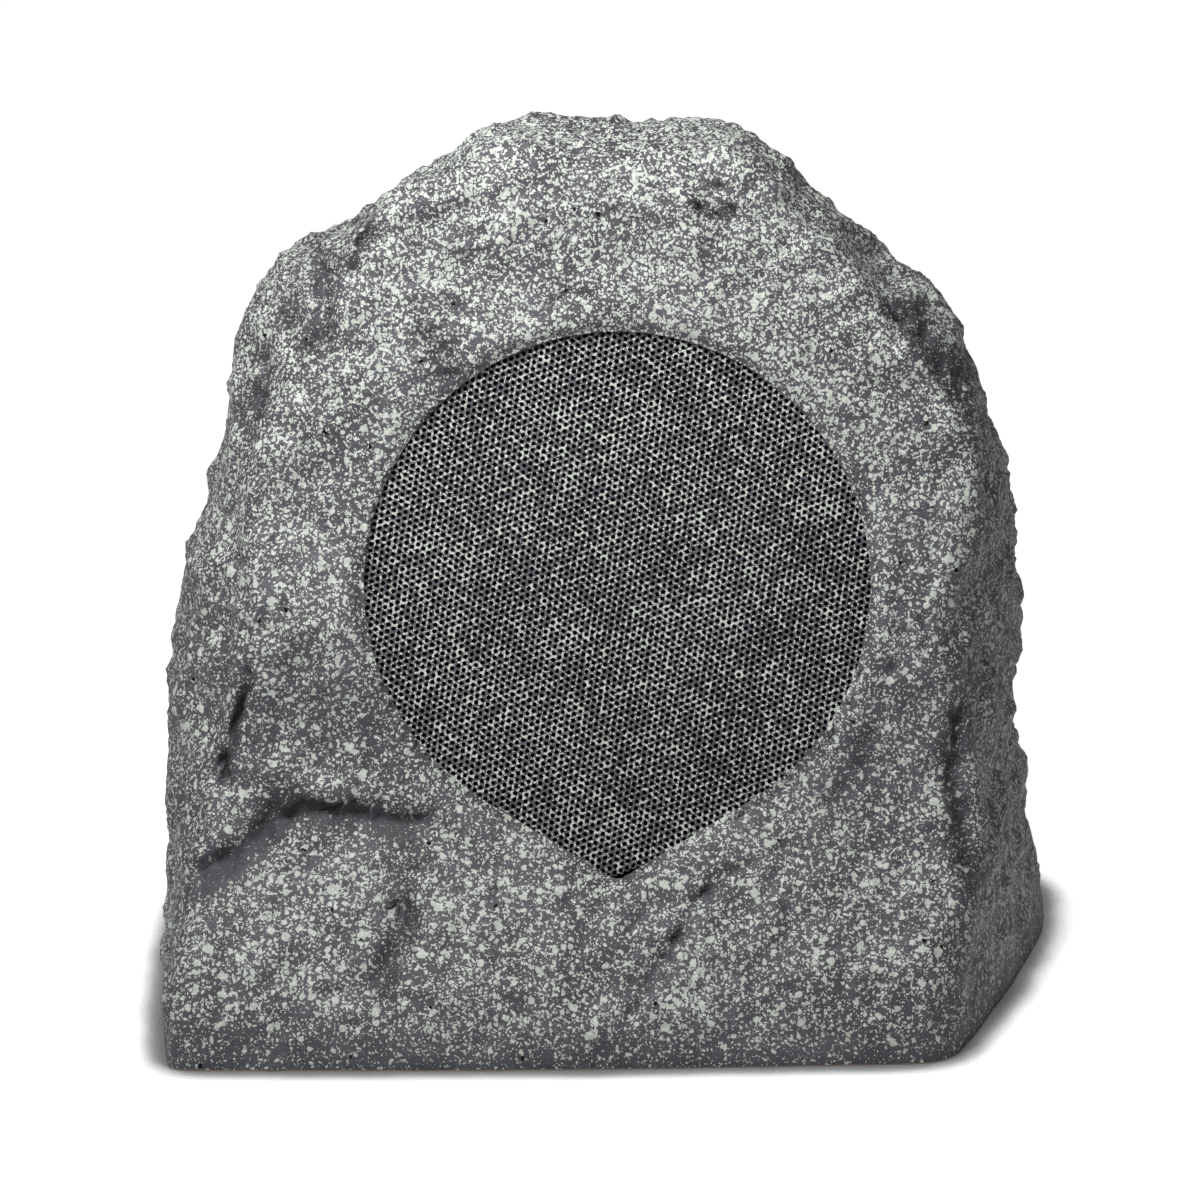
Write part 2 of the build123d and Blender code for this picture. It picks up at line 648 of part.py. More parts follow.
# Dust cap glued over the neck
cap_seat = cone_height(DUST_CAP_RADIUS) + GLUE_GAP
with BuildPart() as dust_cap:
    with BuildSketch(driver_section):
        add(cap_outline(DUST_CAP_RADIUS, cap_seat, DUST_CAP_RISE, DUST_CAP_SHEET))
    revolve(axis=driver_axis)
finish(dust_cap, "dust_cap")

# Voice coil: former and winding, centred on the top plate
coil_middle = -BASKET_DEPTH - TOP_PLATE_THICKNESS / 2
coil_low = coil_middle - COIL_LENGTH / 2
coil_high = coil_middle + COIL_LENGTH / 2
with BuildPart() as voice_coil_former:
    with BuildSketch(driver_section):
        ring(COIL_RADIUS - COIL_FORMER, COIL_RADIUS, coil_low - COIL_TAIL, neck_height + COIL_TAIL)
    revolve(axis=driver_axis)
finish(voice_coil_former, "voice_coil_former")
with BuildPart() as voice_coil_winding:
    with BuildSketch(driver_section):
        ring(COIL_RADIUS + WINDING_GAP, COIL_RADIUS + COIL_WINDING, coil_low, coil_high)
    revolve(axis=driver_axis)
finish(voice_coil_winding, "voice_coil_winding")

# Spider: corrugated cloth disc from the former to its ledge in the basket
spider_bore = COIL_RADIUS + GLUE_GAP
wave_start = ledge_bore - SPIDER_EDGE_FLAT
wave_end = spider_bore + SPIDER_NECK_FLAT
wave_step = (wave_start - wave_end) / (2 * SPIDER_WAVES)
wave_line = [(SPIDER_RADIUS, 0.0), (wave_start, 0.0)]
for step in range(1, 2 * SPIDER_WAVES):
    wave_line.append((wave_start - step * wave_step, SPIDER_WAVE_HEIGHT * (step % 2)))
wave_line += [(wave_end, 0.0), (spider_bore, 0.0)]
spider_low = -SPIDER_DEPTH
spider_high = spider_low + SPIDER_SHEET
with BuildPart() as spider:
    with BuildSketch(driver_section):
        with BuildLine():
            lower = [(radius, spider_low + lift) for radius, lift in wave_line]
            upper = [(radius, spider_high + lift) for radius, lift in reversed(wave_line)]
            Polyline(*lower, *upper, close=True)
        make_face()
    revolve(axis=driver_axis)
finish(spider, "spider")

# Motor: top plate under the basket, ring magnet, and a back plate with its pole
plate_bottom = -BASKET_DEPTH - TOP_PLATE_THICKNESS
magnet_bottom = plate_bottom - MAGNET_HEIGHT
with BuildPart() as top_plate:
    with BuildSketch(driver_section):
        ring(COIL_RADIUS + COIL_WINDING + GAP_OUTSIDE, TOP_PLATE_RADIUS, plate_bottom, -BASKET_DEPTH)
    revolve(axis=driver_axis)
finish(top_plate, "top_plate")
with BuildPart() as magnet:
    with BuildSketch(driver_section):
        ring(MAGNET_BORE, MAGNET_RADIUS, magnet_bottom, plate_bottom)
    revolve(axis=driver_axis)
finish(magnet, "magnet")
with BuildPart() as pole_yoke:
    with BuildSketch(driver_section):
        ring(POLE_VENT, TOP_PLATE_RADIUS, magnet_bottom - BACK_PLATE_THICKNESS, magnet_bottom)
        ring(POLE_VENT, COIL_RADIUS - COIL_FORMER - GAP_INSIDE, magnet_bottom, -BASKET_DEPTH)
    revolve(axis=driver_axis)
finish(pole_yoke, "pole_yoke")

# Terminal strip on the outside of the spider's ledge, and its two solder tags
strip_radius = SPIDER_RADIUS + SPIDER_SHEET + BASKET_FLOOR + GLUE_GAP
with BuildPart() as terminal_strip:
    with BuildSketch(driver.offset(-SPIDER_DEPTH - TERMINAL_THICKNESS)):
        with Locations((0, -strip_radius - TERMINAL_REACH / 2)):
            Rectangle(TERMINAL_WIDTH, TERMINAL_REACH)
    extrude(amount=TERMINAL_THICKNESS)
finish(terminal_strip, "terminal_strip")
with BuildPart() as terminal_tags:
    with BuildSketch(driver.offset(-SPIDER_DEPTH)):
        with Locations((0, -strip_radius - TERMINAL_REACH)):
            with GridLocations(TERMINAL_WIDTH / 2, 0, 2, 1):
                Rectangle(TERMINAL_TAG_WIDTH, TERMINAL_TAG_LENGTH)
    extrude(amount=TERMINAL_TAG_THICKNESS)
finish(terminal_tags, "terminal_tags")

# Bridge: folded strip over the cone, with a ring that holds the tweeter
foot_inner = lip_radius + FOOT_GAP
with BuildPart() as tweeter_bridge:
    with BuildSketch(baffle_section):
        with Locations((0, (bridge_low + bridge_top) / 2)):
            Rectangle(2 * (foot_inner + BRIDGE_SHEET), BRIDGE_SHEET)
        for side in (-1, 1):
            with Locations((side * (foot_inner + BRIDGE_SHEET / 2), (flange_top + bridge_top) / 2)):
                Rectangle(BRIDGE_SHEET, bridge_top - flange_top)
            with Locations((side * (foot_inner + basket_radius) / 2, flange_top + BRIDGE_SHEET / 2)):
                Rectangle(basket_radius - foot_inner, BRIDGE_SHEET)
    extrude(amount=BRIDGE_WIDTH / 2, both=True)
    with BuildSketch(baffle.offset(bridge_low)):
        Circle(HOUSING_RADIUS + HOUSING_CLEARANCE + BRIDGE_RING)
    extrude(amount=BRIDGE_SHEET)
    with BuildSketch(baffle.offset(bridge_low)):
        Circle(HOUSING_RADIUS + HOUSING_CLEARANCE)
    extrude(amount=BRIDGE_SHEET, mode=Mode.SUBTRACT)
    with BuildSketch(baffle.offset(flange_top)):
        with Locations(*screw_places(bridge_screw_angles)):
            Circle(SCREW_SHANK + SCREW_CLEARANCE)
    extrude(amount=BRIDGE_SHEET, mode=Mode.SUBTRACT)
finish(tweeter_bridge, "tweeter_bridge")


# Pan-head screws of the flange and of the bridge's feet, biting into the baffle
for name, angles, seat in (
    ("woofer_screws", woofer_screw_angles, flange_top),
    ("bridge_screws", bridge_screw_angles, flange_top + BRIDGE_SHEET),
):
    with BuildPart() as screws:
        with BuildSketch(baffle.offset(-SCREW_BITE)):
            with Locations(*screw_places(angles)):
                Circle(SCREW_SHANK)
        extrude(amount=SCREW_BITE + seat)
        with BuildSketch(baffle.offset(seat)):
            with Locations(*screw_places(angles)):
                Circle(SCREW_HEAD)
        extrude(amount=SCREW_HEAD_HEIGHT)
    finish(screws, name)

# Tweeter: cup-shaped housing hung in the bridge's ring by its lip, with a small motor and a dome in it
housing_low = bridge_top - HOUSING_DEPTH
housing_bore = HOUSING_RADIUS - HOUSING_WALL
motor_low = housing_low + HOUSING_WALL
motor_top = motor_low + MOTOR_DEPTH
motor_radius = housing_bore - HOUSING_CLEARANCE
motor_bore = motor_radius - MOTOR_WALL
pole_low = motor_top - TWEETER_POLE_THICKNESS
with BuildPart() as tweeter_housing:
    with BuildSketch(baffle_section):
        ring(0, HOUSING_RADIUS, housing_low, motor_low)
        ring(housing_bore, HOUSING_RADIUS, motor_low, bridge_top + HOUSING_LIP)
        ring(HOUSING_RADIUS, HOUSING_RADIUS + HOUSING_LIP_WIDTH, bridge_top, bridge_top + HOUSING_LIP)
    revolve(axis=driver_axis)
finish(tweeter_housing, "tweeter_housing")
with BuildPart() as tweeter_motor_cup:
    with BuildSketch(baffle_section):
        ring(0, motor_radius, motor_low, motor_low + MOTOR_FLOOR)
        ring(motor_bore, motor_radius, motor_low + MOTOR_FLOOR, motor_top)
    revolve(axis=driver_axis)
finish(tweeter_motor_cup, "tweeter_motor_cup")
with BuildPart() as tweeter_magnet:
    with BuildSketch(baffle_section):
        ring(0, TWEETER_MAGNET_RADIUS, motor_low + MOTOR_FLOOR, pole_low)
    revolve(axis=driver_axis)
finish(tweeter_magnet, "tweeter_magnet")
with BuildPart() as tweeter_pole_plate:
    with BuildSketch(baffle_section):
        ring(0, TWEETER_POLE_RADIUS, pole_low, motor_top)
    revolve(axis=driver_axis)
finish(tweeter_pole_plate, "tweeter_pole_plate")
dome_seat = motor_top + DOME_SHEET
with BuildPart() as tweeter_dome:
    with BuildSketch(baffle_section):
        ring(motor_bore - DOME_SHEET, motor_radius, motor_top, dome_seat)
        add(cap_outline(motor_bore, dome_seat, DOME_RISE, DOME_SHEET))
    revolve(axis=driver_axis)
finish(tweeter_dome, "tweeter_dome")
with BuildPart() as tweeter_face_ring:
    with BuildSketch(baffle_section):
        ring(motor_radius - FACE_RING_WIDTH, motor_radius, dome_seat, dome_seat + FACE_RING_HEIGHT)
    revolve(axis=driver_axis)
finish(tweeter_face_ring, "tweeter_face_ring")

# Board of the crossover: its corner screws stand in bosses of the base plate
board_screw_x = BOARD_LENGTH / 2 - BOARD_SCREW_INSET
board_screw_y = BOARD_WIDTH / 2 - BOARD_SCREW_INSET
board_screw_places = [
    (BOARD_X + side * board_screw_x, BOARD_Y + end * board_screw_y)
    for side in (-1, 1)
    for end in (-1, 1)
]

# Base plate let into the rim, with bosses for the board and a hole for the cable's grommet
with BuildPart() as base_plate:
    with BuildSketch(Plane.XY.offset(plate_low)):
        add(base_outline(RIM_WALL + BASE_CLEARANCE))
        with Locations(*base_screw_places):
            Circle(SCREW_SHANK + SCREW_CLEARANCE, mode=Mode.SUBTRACT)
        with Locations((CABLE_X, cable_y)):
            Circle(GROMMET_NECK + BASE_CLEARANCE / 2, mode=Mode.SUBTRACT)
    extrude(amount=BASE_PLATE)
    with BuildSketch(Plane.XY.offset(plate_top)):
        with Locations(*board_screw_places):
            Circle(STANDOFF_RADIUS)
    extrude(amount=STANDOFF_HEIGHT)
    with BuildSketch(Plane.XY.offset(board_low - SCREW_BITE)):
        with Locations(*board_screw_places):
            Circle(SCREW_SHANK + PILOT_CLEARANCE)
    extrude(amount=SCREW_BITE, mode=Mode.SUBTRACT)
finish(base_plate, "base_plate")

# Foam gasket between the plate and the flange
with BuildPart() as base_gasket:
    with BuildSketch(Plane.XY.offset(plate_top)):
        add(base_outline(RIM_WALL + BASE_CLEARANCE))
        add(base_outline(RIM_WALL + BASE_FLANGE_WIDTH), mode=Mode.SUBTRACT)
        with Locations(*base_screw_places):
            Circle(SCREW_SHANK + SCREW_CLEARANCE, mode=Mode.SUBTRACT)
    extrude(amount=BASE_GASKET)
finish(base_gasket, "base_gasket")

# Screws of the base, from below through plate and gasket into the flange
with BuildPart() as base_screws:
    with BuildSketch(Plane.XY.offset(plate_low)):
        with Locations(*base_screw_places):
            Circle(SCREW_SHANK)
    extrude(amount=BASE_PLATE + BASE_GASKET + SCREW_BITE)
    with BuildSketch(Plane.XY.offset(plate_low - SCREW_HEAD_HEIGHT)):
        with Locations(*base_screw_places):
            Circle(SCREW_HEAD)
    extrude(amount=SCREW_HEAD_HEIGHT)
finish(base_screws, "base_screws")

# Rubber grommet of the cable, snapped into the base plate
with BuildPart() as cable_grommet:
    with BuildSketch(Plane.XZ.offset(-cable_y)):
        with Locations((CABLE_X, 0)):
            ring(CABLE_BORE, GROMMET_NECK, plate_low, plate_top)
            ring(CABLE_BORE, GROMMET_RADIUS, plate_low - GROMMET_FLANGE, plate_low)
            ring(CABLE_BORE, GROMMET_RADIUS, plate_top, plate_top + GROMMET_FLANGE)
    revolve(axis=Axis((CABLE_X, cable_y, 0), (0, 0, 1)))
finish(cable_grommet, "cable_grommet")

# Crossover board
with BuildPart() as crossover_board:
    with BuildSketch(Plane.XY.offset(board_low)):
        with Locations((BOARD_X, BOARD_Y)):
            RectangleRounded(BOARD_LENGTH, BOARD_WIDTH, STANDOFF_RADIUS)
        with Locations(*board_screw_places):
            Circle(SCREW_SHANK + SCREW_CLEARANCE, mode=Mode.SUBTRACT)
    extrude(amount=BOARD_THICKNESS)
finish(crossover_board, "crossover_board")
with BuildPart() as crossover_screws:
    with BuildSketch(Plane.XY.offset(board_low - SCREW_BITE)):
        with Locations(*board_screw_places):
            Circle(SCREW_SHANK)
    extrude(amount=SCREW_BITE + BOARD_THICKNESS)
    with BuildSketch(Plane.XY.offset(board_top)):
        with Locations(*board_screw_places):
            Circle(SCREW_HEAD)
    extrude(amount=SCREW_HEAD_HEIGHT)
finish(crossover_screws, "crossover_screws")

# Inductor: bobbin standing on the board, and the copper wound on it
coil_x = BOARD_X + COIL_PLACE[0]
coil_y = BOARD_Y + COIL_PLACE[1]
bobbin_section = Plane(origin=(coil_x, coil_y, board_top), x_dir=(1, 0, 0), z_dir=(0, -1, 0))
bobbin_axis = Axis((coil_x, coil_y, board_top), (0, 0, 1))
with BuildPart() as inductor_bobbin:
    with BuildSketch(bobbin_section):
        ring(BOBBIN_BORE, BOBBIN_CORE, 0, BOBBIN_HEIGHT)
        ring(BOBBIN_BORE, BOBBIN_RADIUS, 0, BOBBIN_CHEEK)
        ring(BOBBIN_BORE, BOBBIN_RADIUS, BOBBIN_HEIGHT - BOBBIN_CHEEK, BOBBIN_HEIGHT)
    revolve(axis=bobbin_axis)
finish(inductor_bobbin, "inductor_bobbin")
with BuildPart() as inductor_winding:
    with BuildSketch(bobbin_section):
        ring(BOBBIN_CORE + GLUE_GAP, BOBBIN_RADIUS - BOBBIN_CHEEK, BOBBIN_CHEEK, BOBBIN_HEIGHT - BOBBIN_CHEEK)
    revolve(axis=bobbin_axis)
finish(inductor_winding, "inductor_winding")

# Film capacitor lying on the board
with BuildPart() as crossover_capacitor:
    with BuildSketch(Plane.YZ.offset(BOARD_X + CAPACITOR_PLACE[0] - CAPACITOR_LENGTH / 2)):
        with Locations((BOARD_Y + CAPACITOR_PLACE[1], board_top + CAPACITOR_RADIUS)):
            Circle(CAPACITOR_RADIUS)
    extrude(amount=CAPACITOR_LENGTH)
    chamfer(edges().filter_by(GeomType.CIRCLE), CAPACITOR_EDGE)
finish(crossover_capacitor, "crossover_capacitor")

# Ceramic resistor
with BuildPart() as crossover_resistor:
    with BuildSketch(Plane.XY.offset(board_top)):
        with Locations((BOARD_X + RESISTOR_PLACE[0], BOARD_Y + RESISTOR_PLACE[1])):
            Rectangle(RESISTOR_SIZE[0], RESISTOR_SIZE[1])
    extrude(amount=RESISTOR_SIZE[2])
finish(crossover_resistor, "crossover_resistor")

# Input terminal block with wire holes in its front and screw holes on top
block_x = BOARD_X + BLOCK_PLACE[0]
block_y = BOARD_Y + BLOCK_PLACE[1]
block_front = block_y - BLOCK_SIZE[1] / 2
wire_height = board_top + BLOCK_WIRE_HEIGHT
pole_pitch = BLOCK_SIZE[0] / BLOCK_POLES
with BuildPart() as input_terminal_block:
    with BuildSketch(Plane.XY.offset(board_top)):
        with Locations((block_x, block_y)):
            Rectangle(BLOCK_SIZE[0], BLOCK_SIZE[1])
    extrude(amount=BLOCK_SIZE[2])
    with BuildSketch(Plane.XY.offset(board_top + BLOCK_SIZE[2])):
        with Locations((block_x, block_y)):
            with GridLocations(pole_pitch, 0, BLOCK_POLES, 1):
                Circle(BLOCK_SCREW_HOLE)
    extrude(amount=-BLOCK_SCREW_DEPTH, mode=Mode.SUBTRACT)
    with BuildSketch(Plane.XZ.offset(-block_front)):
        with Locations((block_x, wire_height)):
            with GridLocations(pole_pitch, 0, BLOCK_POLES, 1):
                Circle(BLOCK_WIRE_HOLE)
    extrude(amount=-BLOCK_SIZE[1] / 2, mode=Mode.SUBTRACT)
finish(input_terminal_block, "input_terminal_block")

# Woofer leads: a pair of wires from the solder tags down to the block's two right-hand poles
tag_end = -strip_radius - TERMINAL_REACH - TERMINAL_TAG_LENGTH / 2
with BuildPart() as woofer_leads:
    for side in (-1, 1):
        tag = driver.from_local_coords(
            Vector(side * TERMINAL_WIDTH / 4, tag_end - GLUE_GAP, TERMINAL_TAG_THICKNESS / 2 - SPIDER_DEPTH)
        )
        bend = tag - driver.y_dir * LEAD_DROP
        hole_x = block_x + (1 + side / 2) * pole_pitch
        with BuildLine() as route:
            FilletPolyline(
                tag,
                bend,
                (hole_x, block_front - LEAD_APPROACH, wire_height),
                (hole_x, block_front + LEAD_ENTRY, wire_height),
                radius=LEAD_BEND,
            )
        with BuildSketch(Plane(origin=route.line @ 0, z_dir=route.line % 0)):
            Circle(LEAD_RADIUS)
        sweep(path=route.line)
finish(woofer_leads, "woofer_leads")
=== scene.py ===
import json
import math

import bmesh
import bpy
import numpy as np
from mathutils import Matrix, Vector, geometry, noise
from mathutils.bvhtree import BVHTree


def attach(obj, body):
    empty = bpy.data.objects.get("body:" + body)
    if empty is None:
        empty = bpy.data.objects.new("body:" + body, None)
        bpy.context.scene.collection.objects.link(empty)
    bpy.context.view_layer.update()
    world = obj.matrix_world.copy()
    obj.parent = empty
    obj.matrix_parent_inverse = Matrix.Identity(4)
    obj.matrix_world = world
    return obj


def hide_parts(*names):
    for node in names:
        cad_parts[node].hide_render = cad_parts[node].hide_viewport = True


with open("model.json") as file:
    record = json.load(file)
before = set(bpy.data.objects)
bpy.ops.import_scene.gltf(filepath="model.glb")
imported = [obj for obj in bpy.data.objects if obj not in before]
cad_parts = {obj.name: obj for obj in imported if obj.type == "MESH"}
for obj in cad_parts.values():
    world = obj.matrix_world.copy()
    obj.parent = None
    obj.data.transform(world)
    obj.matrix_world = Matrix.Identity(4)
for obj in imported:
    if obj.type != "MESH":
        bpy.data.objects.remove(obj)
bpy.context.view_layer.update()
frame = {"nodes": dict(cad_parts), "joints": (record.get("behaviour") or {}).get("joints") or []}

# Rock cabinet. One moulding of stone-filled resin, with the well for the grille in its face, the driver's
# baffle behind that and a flange for the base plate. The mould was taken from a chipped, cracked boulder.
# It stands on its rim, and is painted dark grey and then flicked all over with pale drops.
MM = 0.001
CABINET = "cabinet"
shell = frame["nodes"]["rock_shell"]
face_normal = Vector(frame["joints"][0]["axis"])
face_right = Vector((1, 0, 0))
face_up = face_normal.cross(face_right)
face_axes = np.array([face_right, face_up, face_normal])

# The grille's outline, read from its solid: a circle drawn out to a blunt point at the bottom
TIP_ROUND = 5.0 * MM
WELL_CLEARANCE = 0.4 * MM
OUTLINE_HALVINGS = 40
grille_corners = np.array([v.co for v in frame["nodes"]["grille"].data.vertices]) @ face_axes.T
grille_low, grille_high = grille_corners.min(0), grille_corners.max(0)
grille_radius = (grille_high[0] - grille_low[0]) / 2
middle_up = grille_high[1] - grille_radius
grille_tip = (middle_up - grille_low[1] - TIP_ROUND) / (1 - TIP_ROUND / grille_radius)
middle_across = (grille_low[0] + grille_high[0]) / 2
grille_middle = face_right * middle_across + face_up * middle_up + face_normal * grille_high[2]


def on_face(places):
    """Places measured on the sloping face: right, up and out from the grille's middle."""
    return (places - np.array(grille_middle)) @ face_axes.T


def off_face(right, up, out):
    """A place on the sloping face, in the object's own frame."""
    return grille_middle + face_right * right + face_up * up + face_normal * out


def teardrop_distance(right, up, radius):
    """How far places lie outside the grille's outline, drawn to a radius."""
    scale = radius / grille_radius
    tip, tip_round = grille_tip * scale, TIP_ROUND * scale
    half = math.acos(radius / tip)
    side = np.abs(right)
    past = -side * math.cos(half) - up * math.sin(half)
    round_up = -(tip - tip_round * tip / radius)
    distance = np.hypot(right, up) - radius
    distance = np.where(past > 0, side * math.sin(half) - up * math.cos(half) - radius, distance)
    at_tip = past > -round_up * math.sin(half)
    return np.where(at_tip, np.hypot(right, up - round_up) - tip_round, distance)


def teardrop_outline(radius, count):
    """Points round the grille's outline, drawn to a radius."""
    points = []
    for step in range(count):
        turn = 2 * math.pi * step / count
        across, along = math.cos(turn), math.sin(turn)
        near, far = 0.0, 2 * radius
        for _ in range(OUTLINE_HALVINGS):
            reach = (near + far) / 2
            inside = teardrop_distance(np.array(across * reach), np.array(along * reach), radius) < 0
            near, far = (reach, far) if inside else (near, reach)
        points.append((across * near, along * near))
    return points


# Smooth outer side of the solid, with the mouth of the well and the open base closed by lids
LID_OUT = 3.0 * MM
LID_MARGIN = 0.6 * MM
LID_STEPS = 120
SKIRT = 6.0 * MM
GROUND_LEVEL = 0.01 * MM
RAY_REACH = 0.6
HEART_DEPTH = 95.0 * MM
well_radius = grille_radius + WELL_CLEARANCE
surface_points = [v.co.copy() for v in shell.data.vertices]
surface_faces = [tuple(p.vertices) for p in shell.data.polygons]
ground_points = [p for p in surface_points if p.z < GROUND_LEVEL]
rim = [ground_points[i] for i in geometry.convex_hull_2d([p.xy for p in ground_points])]
rim_start = len(surface_points)
surface_points += [Vector((p.x, p.y, 0)) for p in rim] + [Vector((p.x, p.y, -SKIRT)) for p in rim]
for step in range(len(rim)):
    after = (step + 1) % len(rim)
    surface_faces.append(
        (rim_start + step, rim_start + after, rim_start + len(rim) + after, rim_start + len(rim) + step)
    )
surface_faces.append(tuple(range(rim_start + len(rim), rim_start + 2 * len(rim))))
lid_start = len(surface_points)
lid = teardrop_outline(well_radius + LID_MARGIN, LID_STEPS)
surface_points += [off_face(right, up, LID_OUT) for right, up in lid]
surface_faces.append(tuple(range(lid_start, lid_start + len(lid))))
surface = BVHTree.FromPolygons(surface_points, surface_faces)
heart = grille_middle - face_normal * HEART_DEPTH


def outer_track(turn, samples):
    """Points on the outer side from the grille's middle round to the back, along one direction."""
    side = face_right * math.cos(turn) + face_up * math.sin(turn)
    track = []
    for step in range(samples + 1):
        polar = math.pi * step / samples
        out = face_normal * math.cos(polar) + side * math.sin(polar)
        track.append(surface.ray_cast(heart + out * RAY_REACH, -out)[0])
    return np.array(track)


# Rings run from the lip of the well over the face, round the sides and to the middle of the back,
# closer together at the front than at the back
TRACK_SAMPLES = 330
RING_GRADE = 0.52
RING_INSIDE = 1.2 * MM
RING_OUTSIDE = 0.5 * MM
BACK_STOP = 0.99


def rock_grid(around, along, smoothing):
    """Points and faces of the closed outer side, in rings round the grille's middle."""
    rings = np.zeros((along + 2, around, 3))
    for step in range(around):
        track = outer_track(2 * math.pi * step / around, TRACK_SAMPLES)
        run = np.concatenate([[0], np.cumsum(np.linalg.norm(np.diff(track, axis=0), axis=1))])
        local = on_face(track)
        outside = teardrop_distance(local[:, 0], local[:, 1], well_radius)
        first = int(np.argmax(outside > 0))
        share = -outside[first - 1] / (outside[first] - outside[first - 1])
        lip = run[first - 1] + share * (run[first] - run[first - 1])
        even = np.linspace(0, BACK_STOP, along + 1)
        graded = (1 - RING_GRADE) * even + RING_GRADE * even**2
        stops = lip + RING_OUTSIDE + (run[-1] - lip - RING_OUTSIDE) * graded
        stops = np.concatenate([[lip - RING_INSIDE], stops])
        for axis in range(3):
            rings[:, step, axis] = np.interp(stops, run, track[:, axis])
    for _ in range(smoothing):
        beside = np.roll(rings, 1, axis=1) + np.roll(rings, -1, axis=1)
        rings[2:-1] = 0.5 * rings[2:-1] + 0.125 * (rings[1:-2] + rings[3:] + beside[2:-1])
    points = rings.reshape(-1, 3).tolist() + [track[0].tolist(), track[-1].tolist()]
    faces = []
    for ring in range(along + 1):
        for step in range(around):
            after = (step + 1) % around
            low, high = ring * around, (ring + 1) * around
            faces.append((low + step, high + step, high + after, low + after))
    front_pole, back_pole = len(points) - 2, len(points) - 1
    last = (along + 1) * around
    for step in range(around):
        after = (step + 1) % around
        faces.append((front_pole, step, after))
        faces.append((back_pole, last + after, last + step))
    return points, faces


def new_mesh_object(name, points, faces):
    """Mesh object made from points and faces, linked to the scene."""
    mesh = bpy.data.meshes.new(name)
    mesh.from_pydata(points, [], faces)
    mesh.update()
    made = bpy.data.objects.new(name, mesh)
    bpy.context.scene.collection.objects.link(made)
    return made


def distance_to_line(across, height, line):
    """Distance of places seen from the front to a line, in millimetres."""
    nearest = np.full(across.shape, np.inf)
    for (x0, z0), (x1, z1) in zip(line, line[1:] or line):
        run, rise = x1 - x0, z1 - z0
        length = max(run * run + rise * rise, 1e-9)
        share = np.clip(((across - x0) * run + (height - z0) * rise) / length, 0, 1)
        nearest = np.minimum(nearest, np.hypot(across - x0 - share * run, height - z0 - share * rise))
    return nearest


# Finer marks of the boulder seen from the front, in millimetres right of the middle and above the ground:
# each is a line, its half width and its depth
MARKS = [
    ([(66, 70), (47, 62), (38, 56), (27, 44), (17, 30), (7, 16)], 2.2, 1.4),
    ([(42, 59), (33, 54)], 1.4, 2.6),
    ([(28, 45), (22, 37)], 1.4, 2.8),
    ([(19, 32), (14, 27)], 1.3, 2.2),
    ([(-134, 131), (-136, 120), (-140, 112), (-140, 104), (-145, 96), (-144, 91)], 2.3, 3.2),
    ([(-107, 106), (-104, 97)], 3.0, 2.2),
    ([(-126, 80), (-118, 85)], 4.2, 2.2),
    ([(-124, 79), (-140, 66), (-152, 57)], 5.0, 1.6),
    ([(-42, 56), (-37, 52)], 1.6, 2.2),
    ([(-37, 25), (-33, 19)], 1.4, 2.0),
    ([(-153, 91), (-142, 93)], 1.8, 2.2),
    ([(-77, 55), (-75, 46), (-83, 29)], 4.5, 2.0),
    ([(-107, 274), (-107, 259), (-109, 246)], 5.0, 2.2),
    ([(-130, 236), (-132, 226), (-136, 216)], 4.5, 2.4),
    ([(108, 258), (118, 250), (128, 237), (133, 229)], 4.5, 2.4),
    ([(104, 258), (110, 255), (117, 257)], 2.2, 1.7),
    ([(131, 116), (129, 92), (132, 69), (136, 57)], 4.5, 2.0),
    ([(-88, 288), (-97, 276)], 3.5, 2.2),
    ([(-118, 262), (-121, 250)], 4.0, 1.6),
    ([(-66, 250), (-61, 244), (-58, 236)], 4.0, 1.4),
    ([(-14, 52), (1, 51)], 3.0, 1.4),
    ([(5, 44), (13, 49)], 2.6, 1.3),
    ([(98, 107), (92, 96), (84, 85)], 4.5, 1.2),
    ([(60, 59), (68, 50), (66, 42)], 2.4, 1.2),
    ([(38, 306), (41, 304)], 2.6, 2.8),
    ([(34, 297), (40, 293), (47, 294)], 2.2, 3.0),
    ([(43, 292), (43, 287)], 1.8, 2.8),
    ([(18, 302), (20, 299)], 1.8, 1.8),
    ([(-60, 262), (-52, 259)], 3.0, 1.5),
    ([(-68, 240), (-64, 232)], 2.6, 1.5),
    ([(104, 136), (106, 133)], 2.0, 2.6),
    ([(117, 150), (119, 146), (118, 141)], 2.0, 2.0),
    ([(107, 147), (112, 146)], 1.8, 1.6),
    ([(121, 127), (123, 119)], 2.0, 1.8),
    ([(-104, 27), (-99, 28)], 1.5, 2.2),
    ([(-128, 32), (-125, 29)], 1.3, 1.8),
    ([(-144, 139), (-142, 133)], 1.6, 2.0),
    ([(-20, 263), (-14, 266), (-8, 265)], 2.2, 1.4),
]
# Ledge at the lower left: the recess under it fades downward, and the bulge over it upward
LEDGE = [(-160, 59), (-137, 69), (-124, 80), (-115, 86), (-98, 85), (-81, 80), (-64, 81)]
LEDGE_RECESS = 1.9
LEDGE_BULGE = 2.6
LEDGE_BARE = 11.0
LEDGE_BARE_FADE = 5.0
# Share of painted shade laid on the band under the ledge, where the ledge's shadow falls
LEDGE_PAINTED_SHADE = 0.22
LEDGE_EDGE = 2.0
LEDGE_FADE_DOWN = 20.0
LEDGE_CURVE = 1.5
LEDGE_FADE_UP = 26.0
LEDGE_ENDS = 14.0
# Dents and bumps of the outline seen from the front: right, up, reach, and depth
DENTS = [
    (-60, 309, 14, 6.0), (-97, 281, 9, 5.5), (-121, 266, 9, -3.0), (104, 265, 11, 4.5), (138, 226, 24, 4.5),
    (152, 92, 22, 4.0), (-172, 34, 26, 4.0), (76, 300, 9, 4.0), (-140, 205, 10, 2.0), (-168, 8, 16, 3.0),
]
